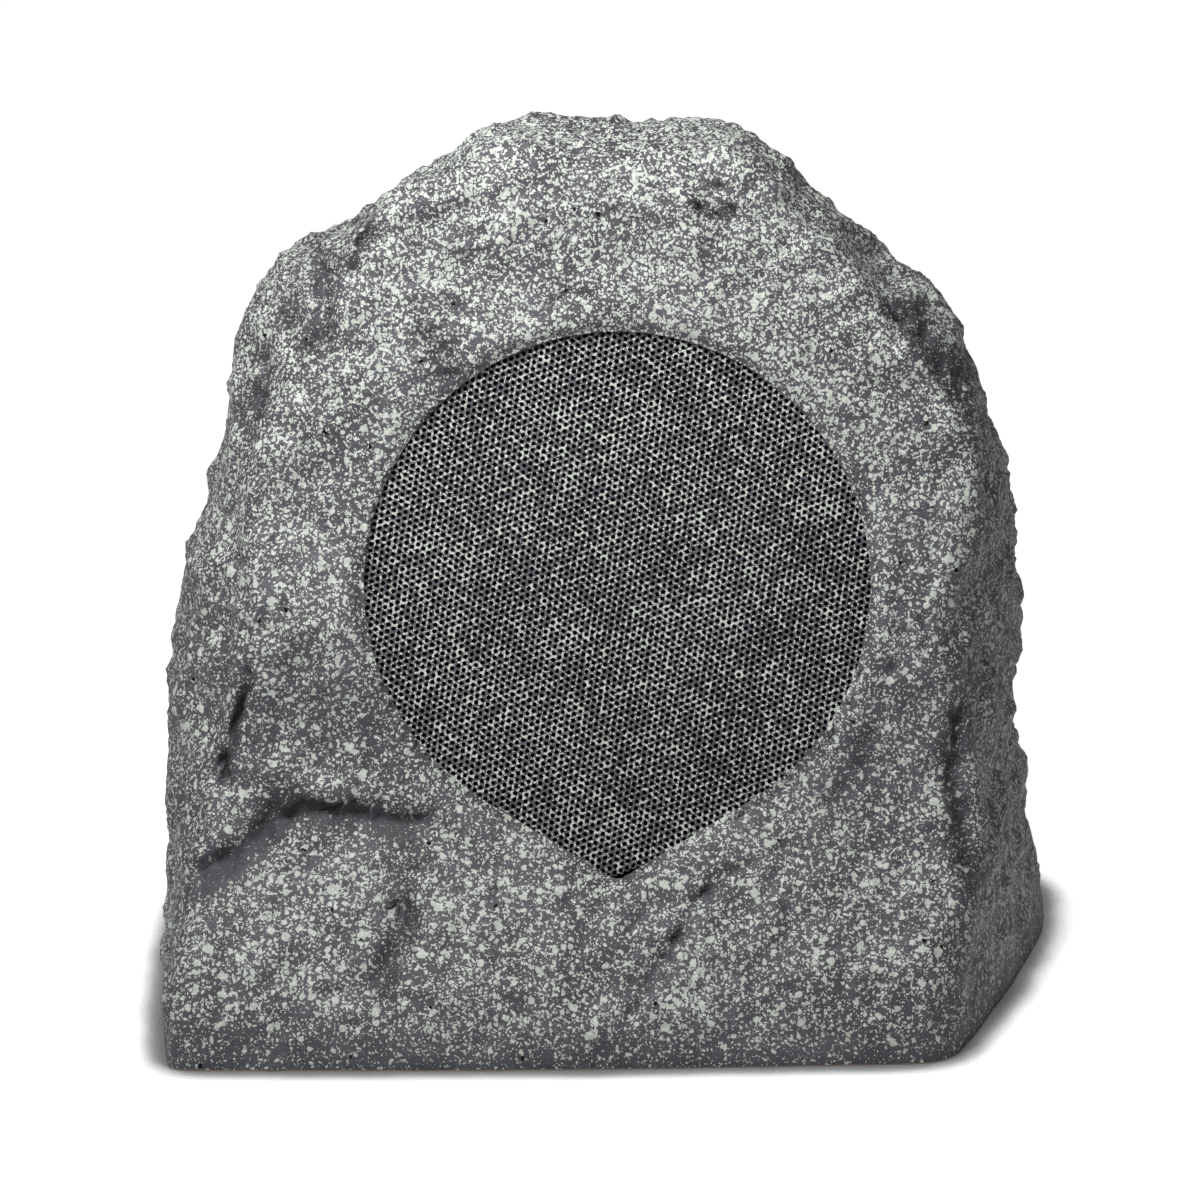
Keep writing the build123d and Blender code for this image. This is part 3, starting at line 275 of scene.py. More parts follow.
# Block that stands a little proud, right of the crack under the grille
BLOCK_EDGE = [(70, 80), (47, 62), (27, 44), (17, 30), (4, 8)]
BLOCK_RISE = 1.7
BLOCK_FADE = 28.0
BLOCK_EDGE_WIDTH = 3.0
BLOCK_ENDS = 14.0


def ledge_shape(across, height):
    """Recess under the ledge, bulge over it and the band the drops don't reach, which also takes painted
    shade, as shares.
    """
    line = np.array(LEDGE, float)
    from_ends = np.minimum(across - line[0, 0], line[-1, 0] - across)
    ends = np.clip(from_ends / LEDGE_ENDS, 0, 1)
    above = height - np.interp(across, line[:, 0], line[:, 1])
    fade_down = np.clip(1 + above / LEDGE_FADE_DOWN, 0, 1) ** LEDGE_CURVE
    recess = np.clip(-above / LEDGE_EDGE, 0, 1) * fade_down
    bulge = np.clip(1 + above / LEDGE_EDGE, 0, 1) * np.clip(1 - above / LEDGE_FADE_UP, 0, 1)
    bare_and_shaded = np.clip(-above, 0, 1) * np.clip((LEDGE_BARE + above) / LEDGE_BARE_FADE, 0, 1)
    return recess * ends, bulge * ends, bare_and_shaded * ends


# The offsets of the noise vectors come from the seed, which makes every run the same
NOISE_SEED = 11
noise.seed_set(NOISE_SEED)
MARK_WAVER = 2.2
MARK_WAVER_SIZE = 7.0
MARK_BREAK = 1.1
MARK_BREAK_SIZE = 5.0
MARK_BREAK_SHIFT = Vector((5, 8, 2))
MARK_BREAK_MIDDLE = 0.85
MARK_BREAK_LIMITS = 0.15, 1.25
# Painted shade in the finer marks: the narrow ones go near black where deep, the wide ones darken a little
NARROW_MARK = 3.5
WIDE_MARK_PAINTED_SHADE = 0.4
BLACK_FROM, BLACK_TO = 1.2, 3.6


def marks_depth(size):
    """How deep the finer marks lie, in millimetres, and how much painted shade darkens them, as a share."""
    waver = np.array([noise.noise_vector(Vector(point) / MARK_WAVER_SIZE) for point in size])
    across = size[:, 0] + MARK_WAVER * waver[:, 0]
    height = size[:, 2] + MARK_WAVER * waver[:, 2]
    broken = [noise.noise(Vector(point) / MARK_BREAK_SIZE + MARK_BREAK_SHIFT) for point in size]
    broken = np.clip(MARK_BREAK_MIDDLE + MARK_BREAK * np.array(broken), *MARK_BREAK_LIMITS)
    depth, black = np.zeros(len(size)), np.zeros(len(size))
    for line, half_width, deepest in MARKS:
        mark = deepest * broken * np.exp(-((distance_to_line(across, height, line) / half_width) ** 2))
        depth += mark
        if half_width < NARROW_MARK:
            black = np.maximum(black, np.clip((mark - BLACK_FROM) / (BLACK_TO - BLACK_FROM), 0, 1))
        else:
            black = np.maximum(black, WIDE_MARK_PAINTED_SHADE * np.clip(mark / BLACK_FROM, 0, 1))
    return depth, black


# Relief all over, in millimetres: how far apart its forms lie, and how far they stand out
SWELL_SIZE, SWELL = 58.0, 1.5
LUMP_SIZE, LUMP = 22.0, 1.8
DISH_SIZE, DISH = 15.0, 2.2
FINE_SIZE, FINE = 6.0, 1.0
SWELL_SHIFT = Vector((7, 3, 1))
FINE_SHIFT = Vector((2, 9, 4))
LUMP_FRACTAL = 1.0, 2.1, 3
FINE_FRACTAL = 0.9, 2.2, 3
DISH_BEND = 0.5
DISH_LEVEL = 0.2
# It is calmer on the face, at the lip and along the base, and stronger on the flanks
FACE_SHARE = 0.45
FACE_MARGIN = 30.0
FACE_LOW = -12.0 * MM
FAR_FROM_LIP = 60.0
FRONT_FROM, FRONT_OVER = 0.15, 0.3
FLANK_EXTRA = 0.45
FLANK_FROM, FLANK_OVER = 0.9, 0.4
LIP_CALM = 8.0
LIP_START = 1.0
LIP_LEAST_SHARE = 0.2
BASE_CALM = 14.0
BASE_LEAST_SHARE = 0.05
LIP_ROUND = 7.0
LIP_DROP = 1.9
LIP_DROP_LEAN = 0.5


def rock_relief(places, normals):
    """How far the boulder's surface stands off the carved solid, in millimetres."""
    size = places / MM
    across, height = size[:, 0], size[:, 2]
    local = on_face(places)
    lip = teardrop_distance(local[:, 0], local[:, 1], well_radius) / MM
    lip = np.where(local[:, 2] > FACE_LOW, lip, FAR_FROM_LIP)
    front = np.clip((-normals[:, 1] - FRONT_FROM) / FRONT_OVER, 0, 1)
    off_lip = np.clip((lip - LIP_CALM) / FACE_MARGIN, 0, 1)
    flank = np.clip((normals[:, 1] + FLANK_FROM) / FLANK_OVER, 0, 1)
    rough = FACE_SHARE + (1 - FACE_SHARE) * off_lip
    rough += FLANK_EXTRA * flank * off_lip
    stands = np.zeros(len(size))
    for place, point in enumerate(size):
        spot = Vector(point)
        swell = SWELL * noise.noise(spot / SWELL_SIZE + SWELL_SHIFT)
        lump = LUMP * noise.fractal(spot / LUMP_SIZE, *LUMP_FRACTAL)
        bent = spot / DISH_SIZE + DISH_BEND * noise.noise_vector(spot / LUMP_SIZE)
        dish = DISH * (noise.voronoi(bent)[0][0] ** 2 - DISH_LEVEL)
        fine = FINE * noise.fractal(spot / FINE_SIZE + FINE_SHIFT, *FINE_FRACTAL)
        stands[place] = swell + rough[place] * (lump + dish + fine)
    by_lip = np.clip((lip - LIP_START) / LIP_CALM, LIP_LEAST_SHARE, 1)
    stands *= by_lip * np.clip(height / BASE_CALM, BASE_LEAST_SHARE, 1)
    recess, bulge, _ = ledge_shape(across, height)
    line = np.array(sorted((z, x) for x, z in BLOCK_EDGE), float)
    beside = across - np.interp(height, line[:, 0], line[:, 1])
    block = np.clip(beside / BLOCK_EDGE_WIDTH, 0, 1) * np.clip(1 - beside / BLOCK_FADE, 0, 1)
    from_base = np.clip((height - line[0, 0]) / BLOCK_ENDS, 0, 1)
    block *= from_base * np.clip((line[-1, 0] - height) / BLOCK_ENDS, 0, 1)
    marks = LEDGE_BULGE * bulge - LEDGE_RECESS * recess + BLOCK_RISE * block - marks_depth(size)[0]
    for x, z, reach, depth in DENTS:
        edge_on = 1 - np.abs(normals[:, 1])
        stands -= depth * edge_on * np.exp(-((across - x) ** 2 + (height - z) ** 2) / reach**2)
    drop = LIP_DROP - LIP_DROP_LEAN * local[:, 1] / well_radius
    return stands + front * marks - drop * np.clip(1 - lip / LIP_ROUND, 0, 1) ** 2


ROCK_AROUND = 470
ROCK_ALONG = 190
ROCK_SMOOTHING = 2
points, faces = rock_grid(ROCK_AROUND, ROCK_ALONG, ROCK_SMOOTHING)
rock = new_mesh_object("rock_cabinet", points, faces)
rock_normals = np.zeros(len(points) * 3)
rock.data.vertex_normals.foreach_get("vector", rock_normals)
rock_normals = rock_normals.reshape(-1, 3)
rock_places = np.array(points)
relief = rock_relief(rock_places, rock_normals) * MM
relief[rock_places[:, 2] < -0.5 * SKIRT] = 0

# The skin stays clear of the room inside, where the moulding's wall is thin
THINNEST = 1.4 * MM
WELL_LOW = -5.0 * MM
PROBE_START = 0.5 * MM
for place, (point, normal) in enumerate(zip(rock_places, rock_normals)):
    start = Vector(point - normal * PROBE_START)
    wall = surface.ray_cast(start, Vector(-normal))[3]
    if wall is not None:
        relief[place] = max(relief[place], THINNEST - wall - PROBE_START)
rock_places = rock_places + rock_normals * relief[:, None]

# Nor does it sink below the grille's edge, all round the lip
LIP_LEAST = 0.9 * MM
LIP_BAND = 7.0 * MM
LIP_SLOPE = -0.3
local = on_face(rock_places)
outside = teardrop_distance(local[:, 0], local[:, 1], well_radius)
least = LIP_LEAST + LIP_SLOPE * np.clip(outside, 0, None)
by_lip = (outside < LIP_BAND) & (local[:, 2] > WELL_LOW)
sunk = np.where(by_lip, np.clip(least - local[:, 2], 0, None), 0)
rock_places = rock_places + sunk[:, None] * np.array(face_normal)
rock.data.vertices.foreach_set("co", rock_places.ravel())


def closed_at_ground(made):
    """Cut a closed mesh off flat at the ground and close the cut."""
    work = bmesh.new()
    work.from_mesh(made.data)
    everything = work.verts[:] + work.edges[:] + work.faces[:]
    bmesh.ops.bisect_plane(
        work, geom=everything, plane_co=(0, 0, 0), plane_no=(0, 0, 1), clear_inner=True
    )
    open_edges = [edge for edge in work.edges if edge.is_boundary]
    bmesh.ops.holes_fill(work, edges=open_edges)
    bmesh.ops.recalc_face_normals(work, faces=work.faces)
    work.to_mesh(made.data)
    work.free()


def cut_away(made, tool):
    """Cut one closed mesh out of another, and remove the tool."""
    cut = made.modifiers.new("cut", "BOOLEAN")
    cut.operation = "DIFFERENCE"
    cut.solver = "MANIFOLD"
    cut.object = tool
    bpy.context.view_layer.update()
    evaluated = made.evaluated_get(bpy.context.evaluated_depsgraph_get())
    result = bpy.data.meshes.new_from_object(evaluated)
    made.modifiers.clear()
    old = made.data
    made.data = result
    bpy.data.meshes.remove(old)
    bpy.data.objects.remove(tool)


closed_at_ground(rock)

# Room inside the cabinet: what lies within the smooth outer side and isn't the moulding's own wall
ROOM_INSET = 6.0 * MM
ROOM_AROUND = 120
ROOM_ALONG = 60
MOULDING_WELD = 0.001 * MM
points, faces = rock_grid(ROOM_AROUND, ROOM_ALONG, 0)
room = new_mesh_object("room", points, faces)
room_normals = np.zeros(len(points) * 3)
room.data.vertex_normals.foreach_get("vector", room_normals)
room.data.vertices.foreach_set("co", (np.array(points).ravel() - ROOM_INSET * room_normals))
moulding = new_mesh_object("moulding", [], [])
work = bmesh.new()
work.from_mesh(shell.data)
bmesh.ops.remove_doubles(work, verts=work.verts, dist=MOULDING_WELD)
# A sliver that the weld leaves as a loose flap would keep the mesh from closing
flaps = [face for face in work.faces if any(edge.is_boundary for edge in face.edges)]
bmesh.ops.delete(work, geom=flaps, context="FACES")
work.to_mesh(moulding.data)
work.free()
cut_away(room, moulding)
cut_away(rock, room)

# Well opened through the skin: the grille's seat, and a mouth whose lip just covers the grille's edge
LIP_LAP = 0.5 * MM
LIP_LOW = 0.5 * MM
MOUTH_HIGH = 30.0 * MM
PRISM_STEPS = 360
ROCK_SHARP = math.radians(50)


def teardrop_prism(radius, low, high):
    """Prism on the grille's outline, from one height over the grille to another."""
    outline = teardrop_outline(radius, PRISM_STEPS)
    count = len(outline)
    points = [off_face(right, up, out) for out in (low, high) for right, up in outline]
    faces = [tuple(reversed(range(count))), tuple(range(count, 2 * count))]
    faces += [(i, (i + 1) % count, count + (i + 1) % count, count + i) for i in range(count)]
    return new_mesh_object("prism", points, faces)


cut_away(rock, teardrop_prism(well_radius, WELL_LOW, LIP_LOW))
cut_away(rock, teardrop_prism(grille_radius - LIP_LAP, WELL_LOW, MOUTH_HIGH))
rock.data.shade_smooth()
rock.data.set_sharp_from_angle(angle=ROCK_SHARP)

# How thickly the pale drops lie: most on what faces up, few in the ledge's shade and along the base
COVER = 0.92
COVER_UPWARD = 0.11
COVER_HIGH, COVER_HIGH_FROM, COVER_HIGH_OVER = 0.20, 120.0, 130.0
COVER_SUNK, SUNK_DEPTH, SUNK_MOST = 0.62, 3.0, 0.8
COVER_BASE, BASE_FROM, BASE_OVER = 0.72, 3.0, 15.0
COARSE_LOST, COARSE_FROM, COARSE_OVER = 0.32, 130.0, 130.0
cover_places = np.zeros(len(rock.data.vertices) * 3)
cover_normals = np.zeros(len(rock.data.vertices) * 3)
rock.data.vertices.foreach_get("co", cover_places)
rock.data.vertex_normals.foreach_get("vector", cover_normals)
cover_places = cover_places.reshape(-1, 3) / MM
cover_normals = cover_normals.reshape(-1, 3)
front = cover_normals[:, 1] < 0
sunk, black = marks_depth(cover_places)
band = ledge_shape(cover_places[:, 0], cover_places[:, 2])[2]
# The band under the ledge takes painted shade as well
black = np.maximum(black, LEDGE_PAINTED_SHADE * band)
sunk = band + np.clip(sunk / SUNK_DEPTH, 0, SUNK_MOST)
height = cover_places[:, 2]
cover = COVER + COVER_UPWARD * np.clip(cover_normals[:, 2], -0.5, 1)
cover += COVER_HIGH * np.clip((height - COVER_HIGH_FROM) / COVER_HIGH_OVER, 0, 1)
cover -= COVER_SUNK * np.clip(sunk, 0, 1) * front
cover *= COVER_BASE + (1 - COVER_BASE) * np.clip((height - BASE_FROM) / BASE_OVER, 0, 1)
coarse = 1 - COARSE_LOST * np.clip((height - COARSE_FROM) / COARSE_OVER, 0, 1)
# The crevice layer holds painted shade, only on what faces the front
for name, values in (("paint_cover", cover), ("paint_coarse", coarse), ("crevice_painted_shade", black * front)):
    layer = rock.data.attributes.new(name, "FLOAT", "POINT")
    layer.data.foreach_set("value", values.astype(np.float32))


def add_node(tree, kind, inputs=None, **settings):
    """Shader node with its settings, and its inputs set or linked by name or number."""
    made = tree.nodes.new(kind)
    for name, value in settings.items():
        setattr(made, name, value)
    for socket, value in (inputs or {}).items():
        if isinstance(value, bpy.types.NodeSocket):
            tree.links.new(value, made.inputs[socket])
        else:
            made.inputs[socket].default_value = value
    return made


def new_surface(name):
    """Material with its node tree and its shader."""
    material = bpy.data.materials.new(name)
    material.use_nodes = True
    return material, material.node_tree, material.node_tree.nodes["Principled BSDF"]


def math_node(tree, operation, first, second=0.0):
    """Result of one sum on two values."""
    return add_node(tree, "ShaderNodeMath", {0: first, 1: second}, operation=operation).outputs[0]


def ranged(tree, value, low, high, to_low, to_high):
    """Value moved from one range to another, and held within it."""
    limits = {
        "Value": value, "From Min": low, "From Max": high, "To Min": to_low, "To Max": to_high,
    }
    return add_node(tree, "ShaderNodeMapRange", limits).outputs[0]


def noise_node(tree, place, size, detail):
    """Cloudy pattern with forms of a size in millimetres."""
    pattern = {"Vector": place, "Scale": 1 / (size * MM), "Detail": detail}
    return add_node(tree, "ShaderNodeTexNoise", pattern)


def mixed_colour(tree, share, first, second):
    """Colour between two colours by a share."""
    made = add_node(tree, "ShaderNodeMix", {0: share, 6: first, 7: second}, data_type="RGBA")
    return made.outputs[2]


def object_place(tree):
    """Place on the object in its own frame, in metres."""
    return add_node(tree, "ShaderNodeTexCoord").outputs["Object"]


def bumped(tree, shader, height, strength, distance):
    """Small relief on a shader's surface."""
    settings = {"Strength": strength, "Distance": distance, "Height": height}
    made = add_node(tree, "ShaderNodeBump", settings)
    tree.links.new(made.outputs["Normal"], shader.inputs["Normal"])


DROP_SOFT = 0.07


def paint_drops(tree, place, cover, cell, largest, share):
    """Drops of flicked paint: in a share of the cells one drop, of a size drawn for that cell."""
    cells = add_node(tree, "ShaderNodeTexVoronoi", {"Vector": place, "Scale": 1 / (cell * MM)})
    drawn = add_node(tree, "ShaderNodeSeparateColor", {0: cells.outputs["Color"]}).outputs[0]
    size = ranged(tree, drawn, 1 - share, 1, -DROP_SOFT, largest / cell)
    size = math_node(tree, "MULTIPLY", size, cover)
    inside = math_node(tree, "SUBTRACT", size, cells.outputs["Distance"])
    drop = add_node(
        tree,
        "ShaderNodeMath",
        {0: inside, 1: 1 / DROP_SOFT, 2: 0.5},
        operation="MULTIPLY_ADD",
        use_clamp=True,
    )
    return drop.outputs[0], drawn


# Layers of drops: cell, largest drop and share of cells, in millimetres
DROP_LAYERS = [(5.6, 2.1, 0.50), (3.0, 1.42, 0.85), (1.6, 0.87, 0.92), (0.9, 0.51, 0.95)]
FINE_CELL = 2.0
PAINT_DARK = (0.037, 0.035, 0.043, 1)
PAINT_GREY = (0.082, 0.079, 0.094, 1)
DROP_PALE = (0.60, 0.64, 0.575, 1)
DROP_DULL = (0.43, 0.46, 0.415, 1)
RAW_EDGE = (0.20, 0.14, 0.10, 1)
RAW_HEIGHT = 0.5 * MM
# Near-black painted shade for crevices and pits
CREVICE_PAINTED_SHADE = (0.010, 0.010, 0.011, 1)
# Pits: cell size, radii and share of the round spots of painted shade
PIT_CELL = 8.0
PIT_RADII = 0.03, 0.115
PIT_SHARE = 0.8
PIT_SOFT = 0.01
DROP_WAVER = 2.6
DROP_WAVER_SIZE = 2.1
# Patches where the drops lie thicker, and the grain of the paint
PATCH_SIZE = 22.0
PATCH_RANGE = 0.35, 0.65
PATCH_COVER = 0.90, 1.07
GRAIN_SIZE = 1.25
GRAIN_RANGE = 0.3, 0.7
GRAIN_STRENGTH = 0.8
GRAIN_DEPTH = 0.4 * MM
TONE_RANGE = 0.75, 1.25
PAINT_SHINE = 0.7, 0.02
PAINT_ROUGH = 0.58, 0.76


def stone_paint(name, bare_and_shaded):
    """Dark grey paint under pale, irregular drops, with unpainted material and painted shade laid in.

    The colour function given adds the unpainted places and the painted shade, and says where it is dull."""
    material, tree, shader = new_surface(name)
    place = object_place(tree)
    waver = noise_node(tree, place, DROP_WAVER_SIZE, 1.5)
    bent = add_node(
        tree,
        "ShaderNodeVectorMath",
        {0: waver.outputs["Color"], 1: (DROP_WAVER * MM,) * 3, 2: place},
        operation="MULTIPLY_ADD",
    ).outputs[0]
    patches = noise_node(tree, place, PATCH_SIZE, 2.0).outputs[0]
    cover = add_node(tree, "ShaderNodeAttribute", attribute_name="paint_cover").outputs["Fac"]
    thicker = ranged(tree, patches, *PATCH_RANGE, *PATCH_COVER)
    cover = math_node(tree, "MULTIPLY", thicker, cover)
    coarse = add_node(tree, "ShaderNodeAttribute", attribute_name="paint_coarse").outputs["Fac"]
    coarse = math_node(tree, "MULTIPLY", cover, coarse)
    drops = None
    for cell, largest, share in DROP_LAYERS:
        reach = coarse if cell > FINE_CELL else cover
        layer, drawn = paint_drops(tree, bent, reach, cell, largest, share)
        drops = layer if drops is None else math_node(tree, "MAXIMUM", drops, layer)
    grain = noise_node(tree, place, GRAIN_SIZE, 2.0).outputs[0]
    tone = ranged(tree, math_node(tree, "ADD", patches, grain), *TONE_RANGE, 0, 1)
    ground = mixed_colour(tree, tone, PAINT_DARK, PAINT_GREY)
    pale = mixed_colour(tree, drawn, DROP_DULL, DROP_PALE)
    colour, dull = bare_and_shaded(tree, place, bent, mixed_colour(tree, drops, ground, pale))
    tree.links.new(colour, shader.inputs["Base Color"])
    tree.links.new(ranged(tree, dull, 0, 1, *PAINT_SHINE), shader.inputs["Specular IOR Level"])
    tree.links.new(ranged(tree, grain, *GRAIN_RANGE, *PAINT_ROUGH), shader.inputs["Roughness"])
    bumped(tree, shader, grain, GRAIN_STRENGTH, GRAIN_DEPTH)
    return material


def rock_painted_shade_and_raw_edge(tree, place, bent, colour):
    """Colour with near-black painted shade in the crevices and pits, and with the moulding's raw edge right
    at the ground.
    """
    deep = add_node(tree, "ShaderNodeAttribute", attribute_name="crevice_painted_shade").outputs["Fac"]
    # Pits are painted as round near-black spots of shade, in a share of the cells
    cells = add_node(tree, "ShaderNodeTexVoronoi", {"Vector": bent, "Scale": 1 / (PIT_CELL * MM)})
    drawn = add_node(tree, "ShaderNodeSeparateColor", {0: cells.outputs["Color"]}).outputs[1]
    radius = ranged(tree, drawn, 1 - PIT_SHARE, 1, -PIT_RADII[0], PIT_RADII[1])
    inside = math_node(tree, "SUBTRACT", radius, cells.outputs["Distance"])
    deep = math_node(tree, "MAXIMUM", deep, ranged(tree, inside, -PIT_SOFT, PIT_SOFT, 0, 1))
    height = add_node(tree, "ShaderNodeSeparateXYZ", {0: place}).outputs[2]
    raw = math_node(tree, "LESS_THAN", height, RAW_HEIGHT)
    colour = mixed_colour(tree, deep, colour, CREVICE_PAINTED_SHADE)
    return mixed_colour(tree, raw, colour, RAW_EDGE), deep


rock.data.materials.clear()
rock.data.materials.append(stone_paint("rock_stone_paint", rock_painted_shade_and_raw_edge))
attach(rock, CABINET)
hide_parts("rock_shell")

# Woofer. A pressed steel basket on a foam seal holds a rubber surround, a moulded cone with its dust cap and
# voice coil, and a corrugated cloth spider; the ferrite motor hangs under it. Eight screws hold it to the
# baffle, and two insulated leads run from its terminals to the crossover.
PORE_RANGE = 0.0, 0.7
FINER_GRAIN = 0.12
SURFACE_STRENGTH = 0.7


def sine_turns(tree, place, axis, pitch):
    """Even turns along an axis, at a pitch in millimetres, from 0 to 1."""
    along = add_node(tree, "ShaderNodeVectorMath", {0: place, 1: axis}, operation="DOT_PRODUCT")
    turns = math_node(tree, "MULTIPLY", along.outputs["Value"], 2 * math.pi / (pitch * MM))
    wave = math_node(tree, "SINE", turns)
    return ranged(tree, wave, -1, 1, 0, 1)


def weave(tree, place, pitch):
    """Threads crossing on the sloping face, at a pitch in millimetres."""
    warp = sine_turns(tree, place, face_right, pitch)
    weft = sine_turns(tree, place, face_up, pitch)
    return math_node(tree, "MAXIMUM", warp, weft)


def pores(tree, place, size):
    """Open cells of foam, of a size in millimetres."""
    cells = add_node(tree, "ShaderNodeTexVoronoi", {"Vector": place, "Scale": 1 / (size * MM)})
    return ranged(tree, cells.outputs["Distance"], *PORE_RANGE, 0, 1)


def surface_of(name, dark, light, patch, rough, relief, metal=0.0, shine=0.5, pattern=None):
    """Surface in two shades with a range of roughness, and grain or a pattern as its relief.

    patch is the size of its shades, and relief how deep the grain or the pattern is, in millimetres."""
    material, tree, shader = new_surface(name)
    place = object_place(tree)
    patches = noise_node(tree, place, patch, 3.0).outputs[0]
    grain = noise_node(tree, place, FINER_GRAIN * patch, 3.0).outputs[0]
    height = pattern(tree, place) if pattern else grain
    shade = math_node(tree, "MULTIPLY", patches, height) if pattern else patches
    tree.links.new(mixed_colour(tree, shade, dark, light), shader.inputs["Base Color"])
    tree.links.new(ranged(tree, grain, *GRAIN_RANGE, *rough), shader.inputs["Roughness"])
    shader.inputs["Metallic"].default_value = metal
    shader.inputs["Specular IOR Level"].default_value = shine
    bumped(tree, shader, height, SURFACE_STRENGTH, relief * MM)
    return material


def dress(material, *names):
    """Put a material on CAD nodes."""
    for name in names:
        slots = frame["nodes"][name].data.materials
        if slots:
            slots[0] = material
        else:
            slots.append(material)


BLACK_SHADES = (0.010, 0.010, 0.011, 1), (0.026, 0.026, 0.028, 1)
RUBBER_SHADES = (0.012, 0.012, 0.013, 1), (0.034, 0.033, 0.033, 1)
CONE_SHADES = (0.020, 0.020, 0.022, 1), (0.045, 0.045, 0.050, 1)
FOAM_SHADES = (0.014, 0.014, 0.015, 1), (0.070, 0.070, 0.072, 1)
FOIL_SHADES = (0.55, 0.53, 0.50, 1), (0.78, 0.77, 0.75, 1)
COPPER_SHADES = (0.32, 0.10, 0.035, 1), (0.78, 0.34, 0.15, 1)
SPIDER_SHADES = (0.16, 0.085, 0.030, 1), (0.42, 0.26, 0.11, 1)
ZINC_SHADES = (0.42, 0.43, 0.45, 1), (0.70, 0.71, 0.72, 1)
FERRITE_SHADES = (0.028, 0.028, 0.030, 1), (0.060, 0.059, 0.060, 1)
BRASS_SHADES = (0.50, 0.33, 0.10, 1), (0.80, 0.60, 0.26, 1)
LEAD_SHADES = (0.22, 0.012, 0.010, 1), (0.42, 0.030, 0.022, 1)
PORE_SIZE = 0.9
WIRE_PITCH = 0.42
THREAD_PITCH = 0.9
foam = surface_of(
    "closed_foam", *FOAM_SHADES, 6.0, (0.8, 0.95), 0.5,
    pattern=lambda tree, place: pores(tree, place, PORE_SIZE),
)
coat = surface_of("black_powder_coat", *BLACK_SHADES, 8.0, (0.38, 0.55), 0.12)
rubber = surface_of("surround_rubber", *RUBBER_SHADES, 12.0, (0.5, 0.72), 0.06)
cone_skin = surface_of("cone_mica_plastic", *CONE_SHADES, 4.0, (0.3, 0.5), 0.10)
foil = surface_of("former_foil", *FOIL_SHADES, 5.0, (0.2, 0.35), 0.02, metal=1.0)
coil_copper = surface_of(
    "coil_copper", *COPPER_SHADES, 5.0, (0.2, 0.35), 0.15, metal=1.0,
    pattern=lambda tree, place: sine_turns(tree, place, face_normal, WIRE_PITCH),
)
spider_weave = surface_of(
    "spider_weave", *SPIDER_SHADES, 7.0, (0.7, 0.9), 0.2,
    pattern=lambda tree, place: weave(tree, place, THREAD_PITCH),
)
zinc = surface_of("zinc_plate", *ZINC_SHADES, 9.0, (0.25, 0.42), 0.03, metal=1.0)
ferrite = surface_of("ferrite", *FERRITE_SHADES, 3.0, (0.55, 0.75), 0.12)
plastic = surface_of("black_plastic", *BLACK_SHADES, 5.0, (0.35, 0.55), 0.08)
brass = surface_of("tinned_brass", *BRASS_SHADES, 3.0, (0.2, 0.4), 0.03, metal=1.0)
lead_skin = surface_of("lead_insulation", *LEAD_SHADES, 4.0, (0.3, 0.45), 0.04)
dress(foam, "driver_seal")
dress(coat, "woofer_basket")
dress(rubber, "woofer_surround", "woofer_gasket")
dress(cone_skin, "woofer_cone", "dust_cap")
dress(foil, "voice_coil_former")
dress(coil_copper, "voice_coil_winding")
dress(spider_weave, "spider")
dress(zinc, "top_plate", "pole_yoke", "woofer_screws")
dress(ferrite, "magnet")
dress(plastic, "terminal_strip")
dress(brass, "terminal_tags")
dress(lead_skin, "woofer_leads")

# Tweeter. A folded steel bridge screwed over the cone carries a small moulded housing, with a steel cup,
# a disc magnet and pole plate, and a coated silk dome that a ring holds at its rim.
SILK_SHADES = (0.018, 0.017, 0.018, 1), (0.055, 0.052, 0.050, 1)
SILK_PITCH = 0.5
silk = surface_of(
    "coated_silk", *SILK_SHADES, 5.0, (0.5, 0.7), 0.08,
    pattern=lambda tree, place: weave(tree, place, SILK_PITCH),
)
dress(coat, "tweeter_bridge")
dress(zinc, "bridge_screws", "tweeter_motor_cup", "tweeter_pole_plate")
dress(plastic, "tweeter_housing", "tweeter_face_ring")
dress(ferrite, "tweeter_magnet")
dress(silk, "tweeter_dome")

# Crossover and base. A moulded plate closes the base, screwed up against a foam gasket, with a rubber
# grommet for the cable. On its bosses a brown laminate board holds a coil, a capacitor, a resistor and
# the terminal block.
UPRIGHT = (0, 0, 1)
ALONG_BOARD = (1, 0, 0)
LAMINATE_SHADES = (0.16, 0.085, 0.035, 1), (0.30, 0.18, 0.085, 1)
FILM_SHADES = (0.30, 0.035, 0.025, 1), (0.46, 0.070, 0.045, 1)
CERAMIC_SHADES = (0.52, 0.50, 0.46, 1), (0.74, 0.72, 0.68, 1)
TERMINAL_SHADES = (0.020, 0.11, 0.045, 1), (0.045, 0.20, 0.085, 1)
INDUCTOR_PITCH = 1.0
FILM_PITCH = 2.2
winding = surface_of(
    "inductor_copper", *COPPER_SHADES, 6.0, (0.2, 0.35), 0.35, metal=1.0,
    pattern=lambda tree, place: sine_turns(tree, place, UPRIGHT, INDUCTOR_PITCH),
)
film = surface_of(
    "capacitor_film", *FILM_SHADES, 8.0, (0.2, 0.35), 0.03,
    pattern=lambda tree, place: sine_turns(tree, place, ALONG_BOARD, FILM_PITCH),
)
dress(plastic, "base_plate", "inductor_bobbin")
dress(foam, "base_gasket")
dress(rubber, "cable_grommet")
dress(zinc, "base_screws", "crossover_screws")
dress(surface_of("brown_laminate", *LAMINATE_SHADES, 2.0, (0.4, 0.6), 0.03), "crossover_board")
dress(winding, "inductor_winding")
dress(film, "crossover_capacitor")
dress(surface_of("white_ceramic", *CERAMIC_SHADES, 2.5, (0.6, 0.8), 0.10), "crossover_resistor")
dress(surface_of("terminal_nylon", *TERMINAL_SHADES, 4.0, (0.35, 0.5), 0.05), "input_terminal_block")

